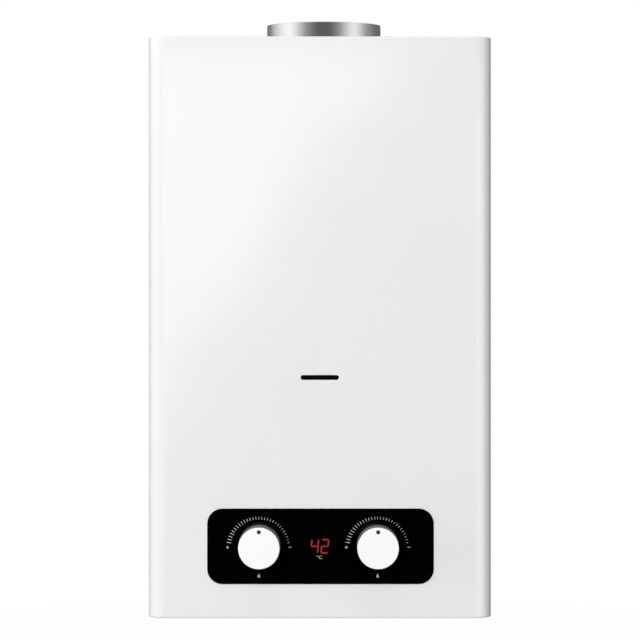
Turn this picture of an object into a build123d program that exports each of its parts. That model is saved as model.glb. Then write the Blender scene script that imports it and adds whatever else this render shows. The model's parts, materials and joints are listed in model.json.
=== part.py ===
from build123d import *
import os
from math import cos, pi

# Wall-hung gas water heater. X to the right, the front faces -Y, Z up.
# The origin is on the wall face, in the middle of the case's lower edge.

# ---- Case ----
case_width = 330.0
case_height = 558.5
case_depth = 165.0
case_wall = 1.0
case_edge_radius = 16.0
case_rim_bend = 1.6
front_lip = 14.0
side_lip = 6.0
cover_off_wall = 1.0

# ---- Clearances ----
sheet_gap = 0.3
running_gap = 0.05
hole_gap = 1.0
braze_gap = 0.1
cut_past = 1.0
cut_overlap = 0.5

# ---- Chassis sheets ----
back_sheet = 1.2
back_flange = 15.0
panel_sheet = 1.0
panel_flange = 14.0
floor_height = 20.0
bead_from_side = 24.0
bead_width = 12.0
bead_depth = 4.0
bead_margin = 60.0
tab_width = 160.0
tab_drop = 14.0
wall_hole_radius = 3.5
wall_hole_spacing = 120.0
wall_hole_height = -6.5
keyhole_spacing = 200.0
keyhole_height = 525.0
keyhole_radius = 6.0
keyhole_slot_radius = 3.2
keyhole_rise = 11.0

# ---- Case openings ----
slot_height = 231.0
slot_width = 36.8
slot_opening = 4.6
pane_border = 6.0
pane_thick = 3.0
pane_frame_border = 4.0
pane_frame_thick = 4.0
pane_frame_lip = 3.0
louvre_count = 8
louvre_length = 46.0
louvre_opening = 3.0
louvre_pitch = 9.0
louvre_start = 70.0
louvre_behind_engine = 18.0
air_slot_columns = 3
air_slot_rows = 2
air_slot_length = 34.0
air_slot_opening = 5.0
air_slot_pitch = 42.0
air_slot_row_pitch = 12.0
air_slot_from_front = 33.0
air_slot_left_of_engine = 21.0
relief_slot_count = 6
relief_slot_length = 60.0
relief_slot_opening = 4.0
relief_slot_pitch = 9.0
relief_slot_from_side = 17.0

# ---- Screws ----
screw_head_radius = 3.8
screw_head_height = 1.8
screw_radius = 1.8
screw_length = 6.0
cover_screw_offset = -8.0
cover_screw_height = 40.0

# ---- Control panel ----
fascia_width = 217.4
fascia_tall = 72.4
fascia_radius = 14.6
fascia_sheet = 1.2
fascia_centre = 0.7
fascia_height = 69.1
fascia_border = 5.0
fascia_boss_depth = 5.0
fascia_face = 3.0
fascia_rim = 2.0
carrier_border = 7.5
carrier_depth = 6.0
carrier_lip = 4.0
carrier_rib = 4.0
carrier_rib_offset = 46.0
board_width = 98.0
board_tall = 50.0
board_thick = 1.6
display_width = 30.0
display_tall = 20.0

# ---- Dials ----
gas_x = -57.8
water_x = 55.4
dial_height = 69.9
knob_radius = 20.0
knob_cap_step = 0.3
knob_length = 31.0
knob_cap_depth = 3.0
knob_off_panel = 0.5
spindle_radius = 4.0
spindle_grip = 14.0
spindle_seat = 20.0

# ---- Flue and draught hood ----
engine_x = 4.0
engine_from_front = 85.0
flue_bore_radius = 55.2
flue_wall = 0.8
flue_rise = 16.8
flue_flange = 7.0
flue_stop = 1.2
hood_top_margin = 2.0
hood_box_height = 32.0
hood_taper_height = 48.0
relief_window_width = 70.0
relief_window_height = 16.0
relief_window_offset = 50.0
baffle_width = 46.0
baffle_rise = 8.0

# ---- Heat exchanger ----
engine_width = 220.0
engine_depth = 101.0
engine_sheet = 0.8
engine_corner = 6.0
shell_height = 187.0
fin_count = 11
fin_thick = 0.6
fin_height = 55.0
fin_drop = 6.0
pass_pitch = 27.0
pass_radius = 7.0
pass_stub = 9.0
coil_radius = 5.5
coil_bend = 12.0
coil_height = 50.0
coil_gap = 0.3
elbow_size = 16.0
return_cap_depth = 14.0
return_cap_border = 2.0
hot_pipe_offset = 20.0
bracket_sheet = 1.2
bracket_width = 150.0
bracket_height = 30.0
bracket_foot = 12.0
shell_bracket_height = 350.0
burner_bracket_height = 175.0

# ---- Burner ----
burner_base = 128.0
burner_height = 110.0
burner_front_open = 34.0
burner_rail = 12.0
burner_rail_thick = 3.0
blade_count = 11
blade_pitch = 18.6
blade_rise = 78.0
blade_head = 11.0
blade_waist = 3.0
blade_foot = 13.0
blade_foot_taper = 5.0
blade_foot_height = 17.0
blade_waist_base = 30.0
blade_waist_drop = 22.0
blade_head_drop = 14.0
blade_head_cut = 2.0
blade_end_gap = 5.0
mouth_radius = 4.0
mouth_depth = 12.0
mouth_rise = 11.0
manifold_depth = 15.0
manifold_height = 17.0
manifold_lug = 2.0
manifold_lug_reach = 17.0
manifold_lug_border = 2.0
injector_radius = 4.0
injector_length = 5.0
injector_stand_off = 2.4

# ---- Flame electrodes and sensors ----
electrode_spread = 24.0
electrode_height = 219.0
electrode_radius = 3.2
electrode_length = 24.0
needle_radius = 0.9
needle_reach = 14.0
electrode_plate_width = 70.0
electrode_plate_tall = 16.0
electrode_plate_border = 3.5
thermostat_radius = 8.0
thermostat_depth = 6.0
thermostat_height = 330.0
spill_sensor_x = 88.0

# ---- Valves and pipes ----
stub_radius = 10.48
stub_bore_radius = 7.2
stub_end = -7.0
stub_hex_radius = 14.0
stub_hex_height = 8.0
stub_neck = 10.0
stub_neck_step = 0.5
seal_thick = 1.5
seal_step = 1.0
seal_bore_radius = 6.0
filter_length = 20.0
pipe_radius = 6.0
gas_valve_width = 44.0
gas_valve_height = 57.5
valve_from_front = 15.0
valve_behind_pipe = 15.0
valve_corner = 5.0
valve_boss_radius = 16.0
valve_boss_depth = 3.0
riser_radius = 6.0
poppet_radius = 8.0
poppet_thick = 3.0
poppet_room = 1.0
poppet_inset = 9.0
solenoid_side = 26.0
solenoid_cut = 5.0
solenoid_height = 30.0
solenoid_border = 3.0
solenoid_base = 4.0
solenoid_before_engine = 6.0
cold_x = 60.0
water_valve_left = 46.0
water_valve_right = 74.0
water_valve_height = 61.5
water_valve_before_rod = 23.0
outlet_behind_engine = 1.0
outlet_height = 75.0
outlet_size = 16.0
flange_side = 58.0
flange_cut = 14.0
flange_body_thick = 11.0
flange_body_overlap = 4.0
flange_cover_thick = 12.0
diaphragm_thick = 1.5
chamber_side = 44.0
chamber_cut = 11.0
chamber_depth = 8.0
chamber_body_depth = 3.5
plate_radius = 17.0
plate_thick = 2.0
gland_radius = 8.0
gland_length = 8.0
rod_radius = 3.0
rod_before_engine = 15.0
rod_height = 70.0
rod_travel = 4.0
rod_collar_radius = 5.5
rod_collar_length = 4.0
switch_length = 20.0
switch_depth = 7.0
switch_tall = 11.0
switch_lever_offset = 3.0
switch_lever_width = 3.0
switch_lever_drop = 2.0
switch_lever_border = 1.0
switch_above_rod = 8.0
switch_bracket_sheet = 1.2
switch_bracket_border = 3.0
drain_x = 66.0
drain_before_engine = 24.0
drain_stem_radius = 5.0
drain_seat = 20.0
drain_head_radius = 9.0
drain_head_height = 8.0
drain_lever_length = 15.0
drain_lever_thick = 4.0
drain_low = 3.0

# ---- Electrics ----
controller_from_side = 9.0
controller_from_valve = 11.4
controller_from_front = 15.0
controller_depth = 38.0
controller_height = 92.0
controller_corner = 4.0
controller_lid = 2.0
controller_lid_border = 2.0
cell_radius = 16.6
cell_length = 61.5
cell_flat_count = 12
cell_nub_radius = 4.5
cell_nub_height = 1.5
battery_from_front = 36.0
battery_wall = 1.5
battery_clearance = 1.4
contact_thick = 0.5
lid_thick = 2.7
lid_contact_thick = 1.0
lid_overlap = 1.0
hinge_radius = 2.5
pin_radius = 1.2
hinge_length = 40.0
hinge_ear = 4.0

# ---- Places worked out from the above ----
flat_to_corner = 1 / cos(pi / 8)
eighth_turn = 45.0
half_width = case_width / 2
front_y = -case_depth
inner_front = front_y + case_wall
inner_half = half_width - case_wall
chassis_half = inner_half - sheet_gap
floor_top = floor_height + panel_sheet
roof_top = case_height - case_wall - sheet_gap
roof_bottom = roof_top - panel_sheet
fascia_x = (fascia_centre - fascia_width / 2, fascia_centre + fascia_width / 2)
fascia_z = (fascia_height - fascia_tall / 2, fascia_height + fascia_tall / 2)
boss_x = (fascia_x[0] + fascia_border, fascia_x[1] - fascia_border)
boss_z = (fascia_z[0] + fascia_border, fascia_z[1] - fascia_border)
panel_face = front_y - fascia_sheet
bead_x = half_width - bead_from_side
relief_slot_x = half_width - relief_slot_from_side - relief_slot_length / 2
boss_back = front_y + fascia_boss_depth
carrier_rear = inner_front + carrier_depth
knob_back = panel_face - knob_off_panel
knob_front = knob_back - knob_length
cap_back = knob_front + knob_cap_depth

engine_y = front_y + engine_from_front
outlet_y = engine_y + outlet_behind_engine
rod_y = engine_y - rod_before_engine
drain_y = engine_y - drain_before_engine
solenoid_y = engine_y - solenoid_before_engine
shell_x = (engine_x - engine_width / 2, engine_x + engine_width / 2)
shell_y = (engine_y - engine_depth / 2, engine_y + engine_depth / 2)
shell_base = burner_base + burner_height
shell_top = shell_base + shell_height
hood_taper_base = shell_top + hood_box_height
hood_top = hood_taper_base + hood_taper_height
collar_base = hood_top + engine_sheet
flue_radius = flue_bore_radius + flue_wall
fin_top = shell_top - fin_drop
pass_height = fin_top - fin_height / 2
back_pass = engine_y + pass_pitch
front_pass = engine_y - pass_pitch
pipe_y = back_pass
coil_level = shell_base + coil_height
coil_offset = coil_gap + coil_radius
coil_x = (shell_x[0] - coil_offset, shell_x[1] + coil_offset)
coil_back = shell_y[1] + coil_offset
elbow_x = (shell_x[1] + sheet_gap, shell_x[1] + sheet_gap + elbow_size)
riser_x = (shell_x[0] - sheet_gap - elbow_size, shell_x[0] - sheet_gap)
cap_x = (shell_x[0] - pass_stub, shell_x[1] + pass_stub)
hot_x = shell_x[1] + hot_pipe_offset

stub_top = floor_top + stub_neck
valve_base = stub_top + seal_thick
valve_front = front_y + valve_from_front
valve_front_flush = valve_front + valve_boss_depth
valve_back = pipe_y + valve_behind_pipe
water_valve_front = rod_y - water_valve_before_rod
gas_valve_x = (gas_x - gas_valve_width / 2, gas_x + gas_valve_width / 2)
gas_valve_top = valve_base + gas_valve_height
manifold_base = burner_base + mouth_rise - manifold_height / 2
manifold_back = shell_y[0] - injector_stand_off
manifold_y = (manifold_back - manifold_depth, manifold_back)
riser_y = (manifold_y[0] + manifold_y[1]) / 2
blade_y = (shell_y[0] + engine_sheet + blade_end_gap, shell_y[1] - engine_sheet - blade_end_gap)
blade_base = burner_base + burner_rail_thick
diaphragm_x = water_valve_left - flange_body_thick + flange_body_overlap
cover_x = diaphragm_x - diaphragm_thick
plate_x = cover_x
poppet_x = gas_valve_x[1] - poppet_inset
controller_x = (controller_from_side - half_width, gas_valve_x[0] - controller_from_valve)
controller_front = front_y + controller_from_front
controller_y = (controller_front, controller_front + controller_depth)
battery_x = (water_valve_right + chassis_half - back_sheet) / 2
battery_y = front_y + battery_from_front
cell_spread = cell_radius + battery_clearance / 2
battery_half_x = 2 * cell_radius + battery_clearance + battery_wall
battery_half_y = cell_radius + battery_clearance + battery_wall
cell_base = floor_height + lid_contact_thick + battery_clearance
battery_top = cell_base + cell_length + cell_nub_height + contact_thick + battery_wall
lid_top = floor_height - sheet_gap
lid_rear = battery_y + battery_half_y + lid_overlap
hinge_y = lid_rear + hinge_radius
hinge_z = lid_top - hinge_radius


# ---- Shared shapes ----
def block(x, y, z):
    low = Vector(x[0], y[0], z[0])
    high = Vector(x[1], y[1], z[1])
    size = high - low
    return Pos(*((low + high) / 2)) * Box(size.X, size.Y, size.Z)


def around(middle, size):
    return (middle - size / 2, middle + size / 2)


def rod(start, end, radius):
    run = Vector(*end) - Vector(*start)
    seat = Plane(origin=start, z_dir=run)
    return seat * Cylinder(radius, run.length, align=(Align.CENTER, Align.CENTER, Align.MIN))


def hexagon(start, end, radius):
    run = Vector(*end) - Vector(*start)
    seat = Plane(origin=start, z_dir=run)
    return extrude(seat * RegularPolygon(radius, 6, rotation=30), run.length)


# A round bar or hole that is out of sight, drawn with flats that lie at its radius.
def flat_sided(start, end, radius, flats, turn=0.0):
    run = Vector(*end) - Vector(*start)
    seat = Plane(origin=start, z_dir=run)
    outline = RegularPolygon(radius, flats, major_radius=False, rotation=turn)
    return extrude(seat * outline, run.length)


def eight_sided(start, end, radius):
    return flat_sided(start, end, radius, 8)


# A straight pipe with eight flats, one of them square to each side of the case.
def straight_tube(start, end, radius):
    return flat_sided(start, end, radius, 8, eighth_turn / 2)


# A slab with rounded corners that faces the front.
def front_slab(x, y, z, radius):
    seat = Plane(origin=(sum(x) / 2, y[0], sum(z) / 2), x_dir=(1, 0, 0), z_dir=(0, 1, 0))
    return extrude(seat * RectangleRounded(x[1] - x[0], z[1] - z[0], radius), y[1] - y[0])


# A square slab with cut corners that faces sideways.
def side_slab(x, middle_y, middle_z, side, corner_cut):
    slab = block(x, around(middle_y, side), around(middle_z, side))
    return chamfer(slab.edges().filter_by(Axis.X), corner_cut)


# A slab with rounded corners that lies flat.
def floor_slab(x, y, z, radius):
    seat = Plane(origin=(sum(x) / 2, sum(y) / 2, z[0]))
    return extrude(seat * RectangleRounded(x[1] - x[0], y[1] - y[0], radius), z[1] - z[0])


# The case's plan form with its two rounded front edges, drawn in by an inset.
def case_form(inset, rear, z, bend=0.0):
    form = block((-half_width + inset, half_width - inset), (front_y + inset, rear), z)
    uprights = form.edges().filter_by(Axis.Z).sort_by(Axis.Y)[:2]
    form = fillet(uprights, case_edge_radius - inset)
    if bend > 0:
        ends = [form.faces().sort_by(Axis.Z)[0], form.faces().sort_by(Axis.Z)[-1]]
        rims = [edge for end in ends for edge in end.edges() if edge.center().Y < rear - 0.01]
        form = chamfer(rims, bend)
    return form


# The engine's upright rectangular tube, which carries burner, exchanger and hood.
def engine_tube(z, corner=0.0):
    x = (shell_x[0] + engine_sheet, shell_x[1] - engine_sheet)
    y = (shell_y[0] + engine_sheet, shell_y[1] - engine_sheet)
    if corner > 0:
        return floor_slab(shell_x, shell_y, z, corner) - floor_slab(x, y, z, corner - engine_sheet)
    return block(shell_x, shell_y, z) - block(x, y, z)


# A bent pipe with the same eight flats.
def swept_tube(points, radius, bend):
    path = FilletPolyline(*points, radius=bend)
    seat = Plane(origin=points[0], z_dir=Vector(*points[1]) - Vector(*points[0]))
    section = seat * RegularPolygon(radius, 8, major_radius=False, rotation=eighth_turn / 2)
    return sweep(section, path=path)


# ---- Case and chassis ----
def cover_screw(side, start, end, radius):
    y = cover_screw_offset
    height = cover_screw_height
    return eight_sided((side * start, y, height), (side * end, y, height), radius)


def front_cover():
    rear = -cover_off_wall
    cover = case_form(0, rear, (0, case_height), case_rim_bend)
    hollow_z = (case_wall, case_height - case_wall)
    cover -= case_form(case_wall, cut_past, hollow_z)
    mouth_x = (-half_width + side_lip, half_width - side_lip)
    cover -= block(mouth_x, (front_y + front_lip, cut_past), (-cut_past, case_height + cut_past))
    panel_x = (boss_x[0] - sheet_gap, boss_x[1] + sheet_gap)
    panel_z = (boss_z[0] - sheet_gap, boss_z[1] + sheet_gap)
    cover -= block(panel_x, (front_y - cut_past, inner_front + cut_past), panel_z)
    slot_seat = Plane(origin=(0, front_y - cut_past, slot_height), x_dir=(1, 0, 0), z_dir=(0, 1, 0))
    cover -= extrude(slot_seat * SlotOverall(slot_width, slot_opening), case_wall + 2 * cut_past)
    across = (-half_width - cut_past, half_width + cut_past)
    louvre_y = around(engine_y + louvre_behind_engine, louvre_length)
    for row in range(louvre_count):
        cover -= block(across, louvre_y, around(louvre_start + row * louvre_pitch, louvre_opening))
    for side in (-1, 1):
        cover -= cover_screw(side, inner_half - cut_past, half_width + cut_past, screw_radius + sheet_gap)
    return cover


def stiffening_bead(middle, grow):
    half = bead_width / 2
    crown = half / 2
    depth = bead_depth + grow
    outline = Polyline(
        (middle - half - grow, 0),
        (middle - crown - grow / 2, -depth),
        (middle + crown + grow / 2, -depth),
        (middle + half + grow, 0),
        close=True,
    )
    base = bead_margin - grow
    run = case_height - 2 * base
    return Pos(0, 0, base) * extrude(make_face(outline), run)


def keyhole(x):
    low = (x, -back_sheet - cut_past, keyhole_height)
    eye = rod(low, (x, cut_past, keyhole_height), keyhole_radius)
    top = keyhole_height + keyhole_rise
    neck_x = around(x, 2 * keyhole_slot_radius)
    neck = block(neck_x, (-back_sheet - cut_past, cut_past), (keyhole_height, top))
    end = rod((x, -back_sheet - cut_past, top), (x, cut_past, top), keyhole_slot_radius)
    return eye + neck + end


def back_plate():
    sheet = block((-chassis_half, chassis_half), (-back_sheet, 0), (case_wall + sheet_gap, roof_top))
    sheet += block(around(0, tab_width), (-back_sheet, 0), (-tab_drop, case_wall + sheet_gap))
    flange_z = (floor_top + sheet_gap, roof_bottom - sheet_gap)
    for side in (-1, 1):
        flange_x = sorted((side * chassis_half, side * (chassis_half - back_sheet)))
        sheet += block(flange_x, (-back_flange, -back_sheet), flange_z)
        sheet += stiffening_bead(side * bead_x, back_sheet)
    for side in (-1, 1):
        sheet -= stiffening_bead(side * bead_x, 0)
        sheet -= keyhole(side * keyhole_spacing / 2)
        x = side * wall_hole_spacing / 2
        start = (x, -back_sheet - cut_past, wall_hole_height)
        sheet -= rod(start, (x, cut_past, wall_hole_height), wall_hole_radius)
        outer = chassis_half + cut_past
        sheet -= cover_screw(side, chassis_half - back_sheet - cut_past, outer, screw_radius + running_gap)
    return sheet


def panel_flange_half():
    return chassis_half - back_sheet - sheet_gap


def top_panel():
    z = (roof_bottom, roof_top)
    panel = case_form(case_wall + sheet_gap, -back_sheet, z)
    flange_y = (-back_sheet - panel_sheet, -back_sheet)
    flange_x = (-panel_flange_half(), panel_flange_half())
    panel += block(flange_x, flange_y, (roof_bottom - panel_flange, roof_bottom))
    below = (engine_x, engine_y, roof_bottom - cut_past)
    panel -= rod(below, (engine_x, engine_y, roof_top + cut_past), flue_radius + hole_gap)
    first = engine_y - (relief_slot_count - 1) * relief_slot_pitch / 2
    for side in (-1, 1):
        for row in range(relief_slot_count):
            slot_y = around(first + row * relief_slot_pitch, relief_slot_opening)
            slot_x = around(side * relief_slot_x, relief_slot_length)
            panel -= block(slot_x, slot_y, (roof_bottom - cut_past, roof_top + cut_past))
    return panel


def stub_places():
    return [(gas_x, pipe_y), (cold_x, pipe_y), (hot_x, pipe_y)]


def ear_places():
    offset = (hinge_length + hinge_ear) / 2 + sheet_gap
    return [battery_x - offset, battery_x + offset]


def bottom_panel():
    z = (floor_height, floor_top)
    through = (floor_height - cut_past, floor_top + cut_past)
    panel = case_form(case_wall + sheet_gap, -back_sheet, z)
    flange_x = (-panel_flange_half(), panel_flange_half())
    flange_y = (-back_sheet - panel_sheet, -back_sheet)
    panel += block(flange_x, flange_y, (floor_top, floor_top + panel_flange))
    for x, y in stub_places():
        panel -= rod((x, y, through[0]), (x, y, through[1]), stub_radius + hole_gap)
    drain_top = (drain_x, drain_y, through[1])
    panel -= eight_sided((drain_x, drain_y, through[0]), drain_top, drain_stem_radius + hole_gap)
    hatch_x = around(battery_x, 2 * (battery_half_x - battery_wall))
    panel -= block(hatch_x, around(battery_y, 2 * (battery_half_y - battery_wall)), through)
    middle_x = engine_x - air_slot_left_of_engine
    first_x = middle_x - (air_slot_columns - 1) * air_slot_pitch / 2
    first_y = front_y + air_slot_from_front - (air_slot_rows - 1) * air_slot_row_pitch / 2
    for column in range(air_slot_columns):
        for row in range(air_slot_rows):
            slot_x = around(first_x + column * air_slot_pitch, air_slot_length)
            slot_y = around(first_y + row * air_slot_row_pitch, air_slot_opening)
            panel -= block(slot_x, slot_y, through)
    for middle in ear_places():
        ear_z = (hinge_z - hinge_radius, floor_height)
        panel += block(around(middle, hinge_ear), around(hinge_y, 2 * hinge_radius), ear_z)
    return panel


def cover_screws():
    screws = []
    for side in (-1, 1):
        head = cover_screw(side, half_width, half_width + screw_head_height, screw_head_radius)
        screws.append(head + cover_screw(side, half_width - screw_length, half_width, screw_radius))
    return Compound(children=screws)


# ---- Brackets between the wall plate and the engine ----
def bracket_profile(height):
    near = -back_sheet
    far = shell_y[1]
    half = bracket_height / 2
    points = [
        (near, half + bracket_foot),
        (near - bracket_sheet, half + bracket_foot),
        (near - bracket_sheet, half),
        (far, half),
        (far, -half),
        (near - bracket_sheet, -half),
        (near - bracket_sheet, -half - bracket_foot),
        (near, -half - bracket_foot),
        (near, -half + bracket_sheet),
        (far + bracket_sheet, -half + bracket_sheet),
        (far + bracket_sheet, half - bracket_sheet),
        (near, half - bracket_sheet),
    ]
    return [(0, y, height + z) for y, z in points]


def engine_brackets():
    brackets = []
    for height in (shell_bracket_height, burner_bracket_height):
        wire = Polyline(*bracket_profile(height), close=True)
        form = extrude(make_face(wire), bracket_width / 2, dir=(1, 0, 0), both=True)
        brackets.append(Pos(engine_x, 0, 0) * form)
    return Compound(children=brackets)


# ---- Viewing slot ----
def pane_sides():
    width = slot_width + 2 * pane_border
    tall = slot_opening + 2 * pane_border
    return width, tall


def view_window():
    width, tall = pane_sides()
    y = (inner_front, inner_front + pane_thick)
    return block(around(0, width), y, around(slot_height, tall))


def window_frame():
    width, tall = pane_sides()
    y = (inner_front, inner_front + pane_frame_thick)
    border = 2 * pane_frame_border
    frame = block(around(0, width + border), y, around(slot_height, tall + border))
    pocket_x = around(0, width + 2 * sheet_gap)
    pocket_z = around(slot_height, tall + 2 * sheet_gap)
    frame -= block(pocket_x, (inner_front, inner_front + pane_thick), pocket_z)
    sight_x = around(0, width - 2 * pane_frame_lip)
    sight_z = around(slot_height, tall - 2 * pane_frame_lip)
    return frame - block(sight_x, y, sight_z)


# ---- Control panel ----
def control_panel():
    face = front_slab(fascia_x, (panel_face, front_y), fascia_z, fascia_radius)
    face += block(boss_x, (front_y, boss_back), boss_z)
    inner_x = (boss_x[0] + fascia_rim, boss_x[1] - fascia_rim)
    inner_z = (boss_z[0] + fascia_rim, boss_z[1] - fascia_rim)
    face -= block(inner_x, (panel_face + fascia_face, boss_back), inner_z)
    for x in (gas_x, water_x):
        start = (x, panel_face - cut_past, dial_height)
        face -= eight_sided(start, (x, boss_back, dial_height), spindle_radius + sheet_gap)
    return face


def panel_carrier():
    x = (boss_x[0] - carrier_border, boss_x[1] + carrier_border)
    z = (boss_z[0] - carrier_border, boss_z[1] + carrier_border)
    ring = block(x, (inner_front, carrier_rear), z)
    pocket_x = (boss_x[0] - sheet_gap, boss_x[1] + sheet_gap)
    pocket_z = (boss_z[0] - sheet_gap, boss_z[1] + sheet_gap)
    ring -= block(pocket_x, (inner_front, boss_back), pocket_z)
    open_x = (boss_x[0] + carrier_lip, boss_x[1] - carrier_lip)
    open_z = (boss_z[0] + carrier_lip, boss_z[1] - carrier_lip)
    ring -= block(open_x, (boss_back, carrier_rear), open_z)
    for side in (-1, 1):
        middle = fascia_centre + side * carrier_rib_offset
        ring += block(around(middle, carrier_rib), (boss_back, carrier_rear), open_z)
    return ring


def display_board():
    x = around(fascia_centre, board_width)
    return block(x, (carrier_rear, carrier_rear + board_thick), around(fascia_height, board_tall))


def display_module():
    x = around(fascia_centre, display_width)
    return block(x, (panel_face + fascia_face, carrier_rear), around(fascia_height, display_tall))


# ---- Dials ----
def knob(x):
    body = rod((x, cap_back, dial_height), (x, knob_back, dial_height), knob_radius)
    grip_end = knob_back - spindle_grip
    grip = eight_sided((x, grip_end, dial_height), (x, knob_back, dial_height), spindle_radius + running_gap)
    return body - grip


def knob_cap(x):
    return rod((x, knob_front, dial_height), (x, cap_back, dial_height), knob_radius - knob_cap_step)


def spindle(x, valve_face):
    start = (x, knob_back - spindle_grip + running_gap, dial_height)
    return rod(start, (x, valve_face + spindle_seat - running_gap, dial_height), spindle_radius)


# ---- Flue ----
def flue_collar():
    top = case_height + flue_rise
    flange_side = 2 * (flue_radius + flue_flange)
    flange_z = (collar_base, collar_base + flue_wall)
    collar = rod((engine_x, engine_y, collar_base), (engine_x, engine_y, top), flue_radius)
    collar += block(around(engine_x, flange_side), around(engine_y, flange_side), flange_z)
    return collar - rod((engine_x, engine_y, collar_base), (engine_x, engine_y, top), flue_bore_radius)


# The folded pyramid from the engine's rectangle to the collar's square, drawn in by an inset:
# what two tapering prisms, one seen from the front and one from the side, have in common.
def hood_taper(inset):
    top = flue_radius + flue_flange + hood_top_margin - inset
    z = (hood_taper_base, hood_top)
    reach = engine_width + engine_depth
    prisms = []
    for foot in (engine_width / 2 - inset, engine_depth / 2 - inset):
        prisms.append([(-foot, z[0]), (foot, z[0]), (top, z[1]), (-top, z[1])])
    front = make_face(Polyline(*[(x, -reach, height) for x, height in prisms[0]], close=True))
    side = make_face(Polyline(*[(-reach, y, height) for y, height in prisms[1]], close=True))
    form = extrude(front, 2 * reach, dir=(0, 1, 0)) & extrude(side, 2 * reach, dir=(1, 0, 0))
    return Pos(engine_x, engine_y, 0) * form


def draught_hood():
    hood = engine_tube((shell_top, hood_taper_base))
    hood += hood_taper(0) - hood_taper(engine_sheet)
    side = 2 * (flue_radius + flue_flange + hood_top_margin)
    hood += block(around(engine_x, side), around(engine_y, side), (hood_top, collar_base))
    throat = flue_bore_radius - flue_stop
    below = (engine_x, engine_y, hood_top - cut_past)
    hood -= rod(below, (engine_x, engine_y, collar_base + cut_past), throat)
    through = (shell_y[0] - cut_past, shell_y[1] + cut_past)
    window_z = around((shell_top + hood_taper_base) / 2, relief_window_height)
    for side in (-1, 1):
        window_x = around(engine_x + side * relief_window_offset, relief_window_width)
        hood -= block(window_x, through, window_z)
    return hood


# A folded roof-shaped plate across the hood, which keeps down-draughts off the burner.
def hood_baffle():
    half = baffle_width / 2
    base = hood_taper_base - baffle_rise - 2 * bracket_sheet
    points = [
        (0, engine_y - half, base),
        (0, engine_y, base + baffle_rise),
        (0, engine_y + half, base),
        (0, engine_y + half, base + bracket_sheet),
        (0, engine_y, base + baffle_rise + bracket_sheet),
        (0, engine_y - half, base + bracket_sheet),
    ]
    inner_width = engine_width - 2 * engine_sheet
    form = extrude(make_face(Polyline(*points, close=True)), inner_width / 2, dir=(1, 0, 0), both=True)
    return Pos(engine_x, 0, 0) * form


# ---- Heat exchanger ----
def pass_rows():
    return [front_pass, engine_y, back_pass]


def exchanger_shell():
    shell = engine_tube((shell_base, shell_top), engine_corner)
    for y in pass_rows():
        start = (shell_x[0] - cut_past, y, pass_height)
        shell -= eight_sided(start, (shell_x[1] + cut_past, y, pass_height), pass_radius + running_gap)
    return shell


# Each fin's collar round a tube is a hole with eight flats that touch the tube.
def exchanger_fins():
    inner_depth = engine_depth - 2 * engine_sheet - 2 * braze_gap
    inner_width = engine_width - 2 * engine_sheet
    seat = Plane(origin=(0, engine_y, pass_height), x_dir=(0, 1, 0), z_dir=(1, 0, 0))
    outline = Rectangle(inner_depth, fin_height)
    for row in (-1, 0, 1):
        collar = RegularPolygon(pass_radius + running_gap, 8, major_radius=False)
        outline -= Pos(row * pass_pitch, 0) * collar
    fin = extrude(seat * outline, fin_thick)
    pitch = inner_width / fin_count
    first = engine_x - (fin_count - 1) * pitch / 2 - fin_thick / 2
    return Compound(children=[Pos(first + index * pitch, 0, 0) * fin for index in range(fin_count)])


def pass_tube(x, y):
    return eight_sided((x[0], y, pass_height), (x[1], y, pass_height), pass_radius)


# Water crosses the fins three times: in at the front left, out at the back right.
def exchanger_tubes():
    first = pass_tube((riser_x[1], cap_x[1]), front_pass)
    second = pass_tube(cap_x, engine_y)
    third = pass_tube((cap_x[0], hot_x - elbow_size / 2), back_pass)
    return Compound(children=[first, second, third])


# Caps that turn the water from one pass into the next.
def return_caps():
    border = pass_radius + return_cap_border
    z = (pass_height - border, pass_height + border)
    right_x = (cap_x[1], cap_x[1] + return_cap_depth)
    left_x = (cap_x[0] - return_cap_depth, cap_x[0])
    right = block(right_x, (front_pass - border, engine_y + border), z)
    left = block(left_x, (engine_y - border, back_pass + border), z)
    caps = []
    for cap, outward in ((right, 1), (left, -1)):
        crown = cap.faces().sort_by(Axis.X)[-1 if outward > 0 else 0]
        caps.append(chamfer(crown.edges(), border / 2))
    return Compound(children=caps)


# Half a turn of tube round the back of the shell warms the water first.
def wrap_coil():
    points = [
        (coil_x[1], outlet_y + elbow_size / 2, coil_level),
        (coil_x[1], coil_back, coil_level),
        (coil_x[0], coil_back, coil_level),
        (coil_x[0], front_pass + elbow_size / 2, coil_level),
    ]
    return swept_tube(points, coil_radius, coil_bend)


def coil_riser():
    low = coil_level + elbow_size / 2
    high = pass_height - elbow_size / 2
    return straight_tube((coil_x[0], front_pass, low), (coil_x[0], front_pass, high), coil_radius)


def pipe_elbows():
    start = block(elbow_x, around(outlet_y, elbow_size), around(coil_level, elbow_size))
    foot = block(riser_x, around(front_pass, elbow_size), around(coil_level, elbow_size))
    head = block(riser_x, around(front_pass, elbow_size), around(pass_height, elbow_size))
    outlet_x = around(hot_x, elbow_size)
    outlet = block(outlet_x, around(back_pass, elbow_size), around(pass_height, elbow_size))
    return Compound(children=[start, foot, head, outlet])


# Two alike thermal switches: one on the exchanger's front, one by the draught relief slots.
def thermal_switches():
    front = shell_y[0] - thermostat_depth
    seat = (engine_x, shell_y[0], thermostat_height)
    overheat = eight_sided((engine_x, front, thermostat_height), seat, thermostat_radius)
    top = (spill_sensor_x, engine_y, roof_bottom)
    low = (spill_sensor_x, engine_y, roof_bottom - thermostat_depth)
    return Compound(children=[overheat, eight_sided(low, top, thermostat_radius)])


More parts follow.
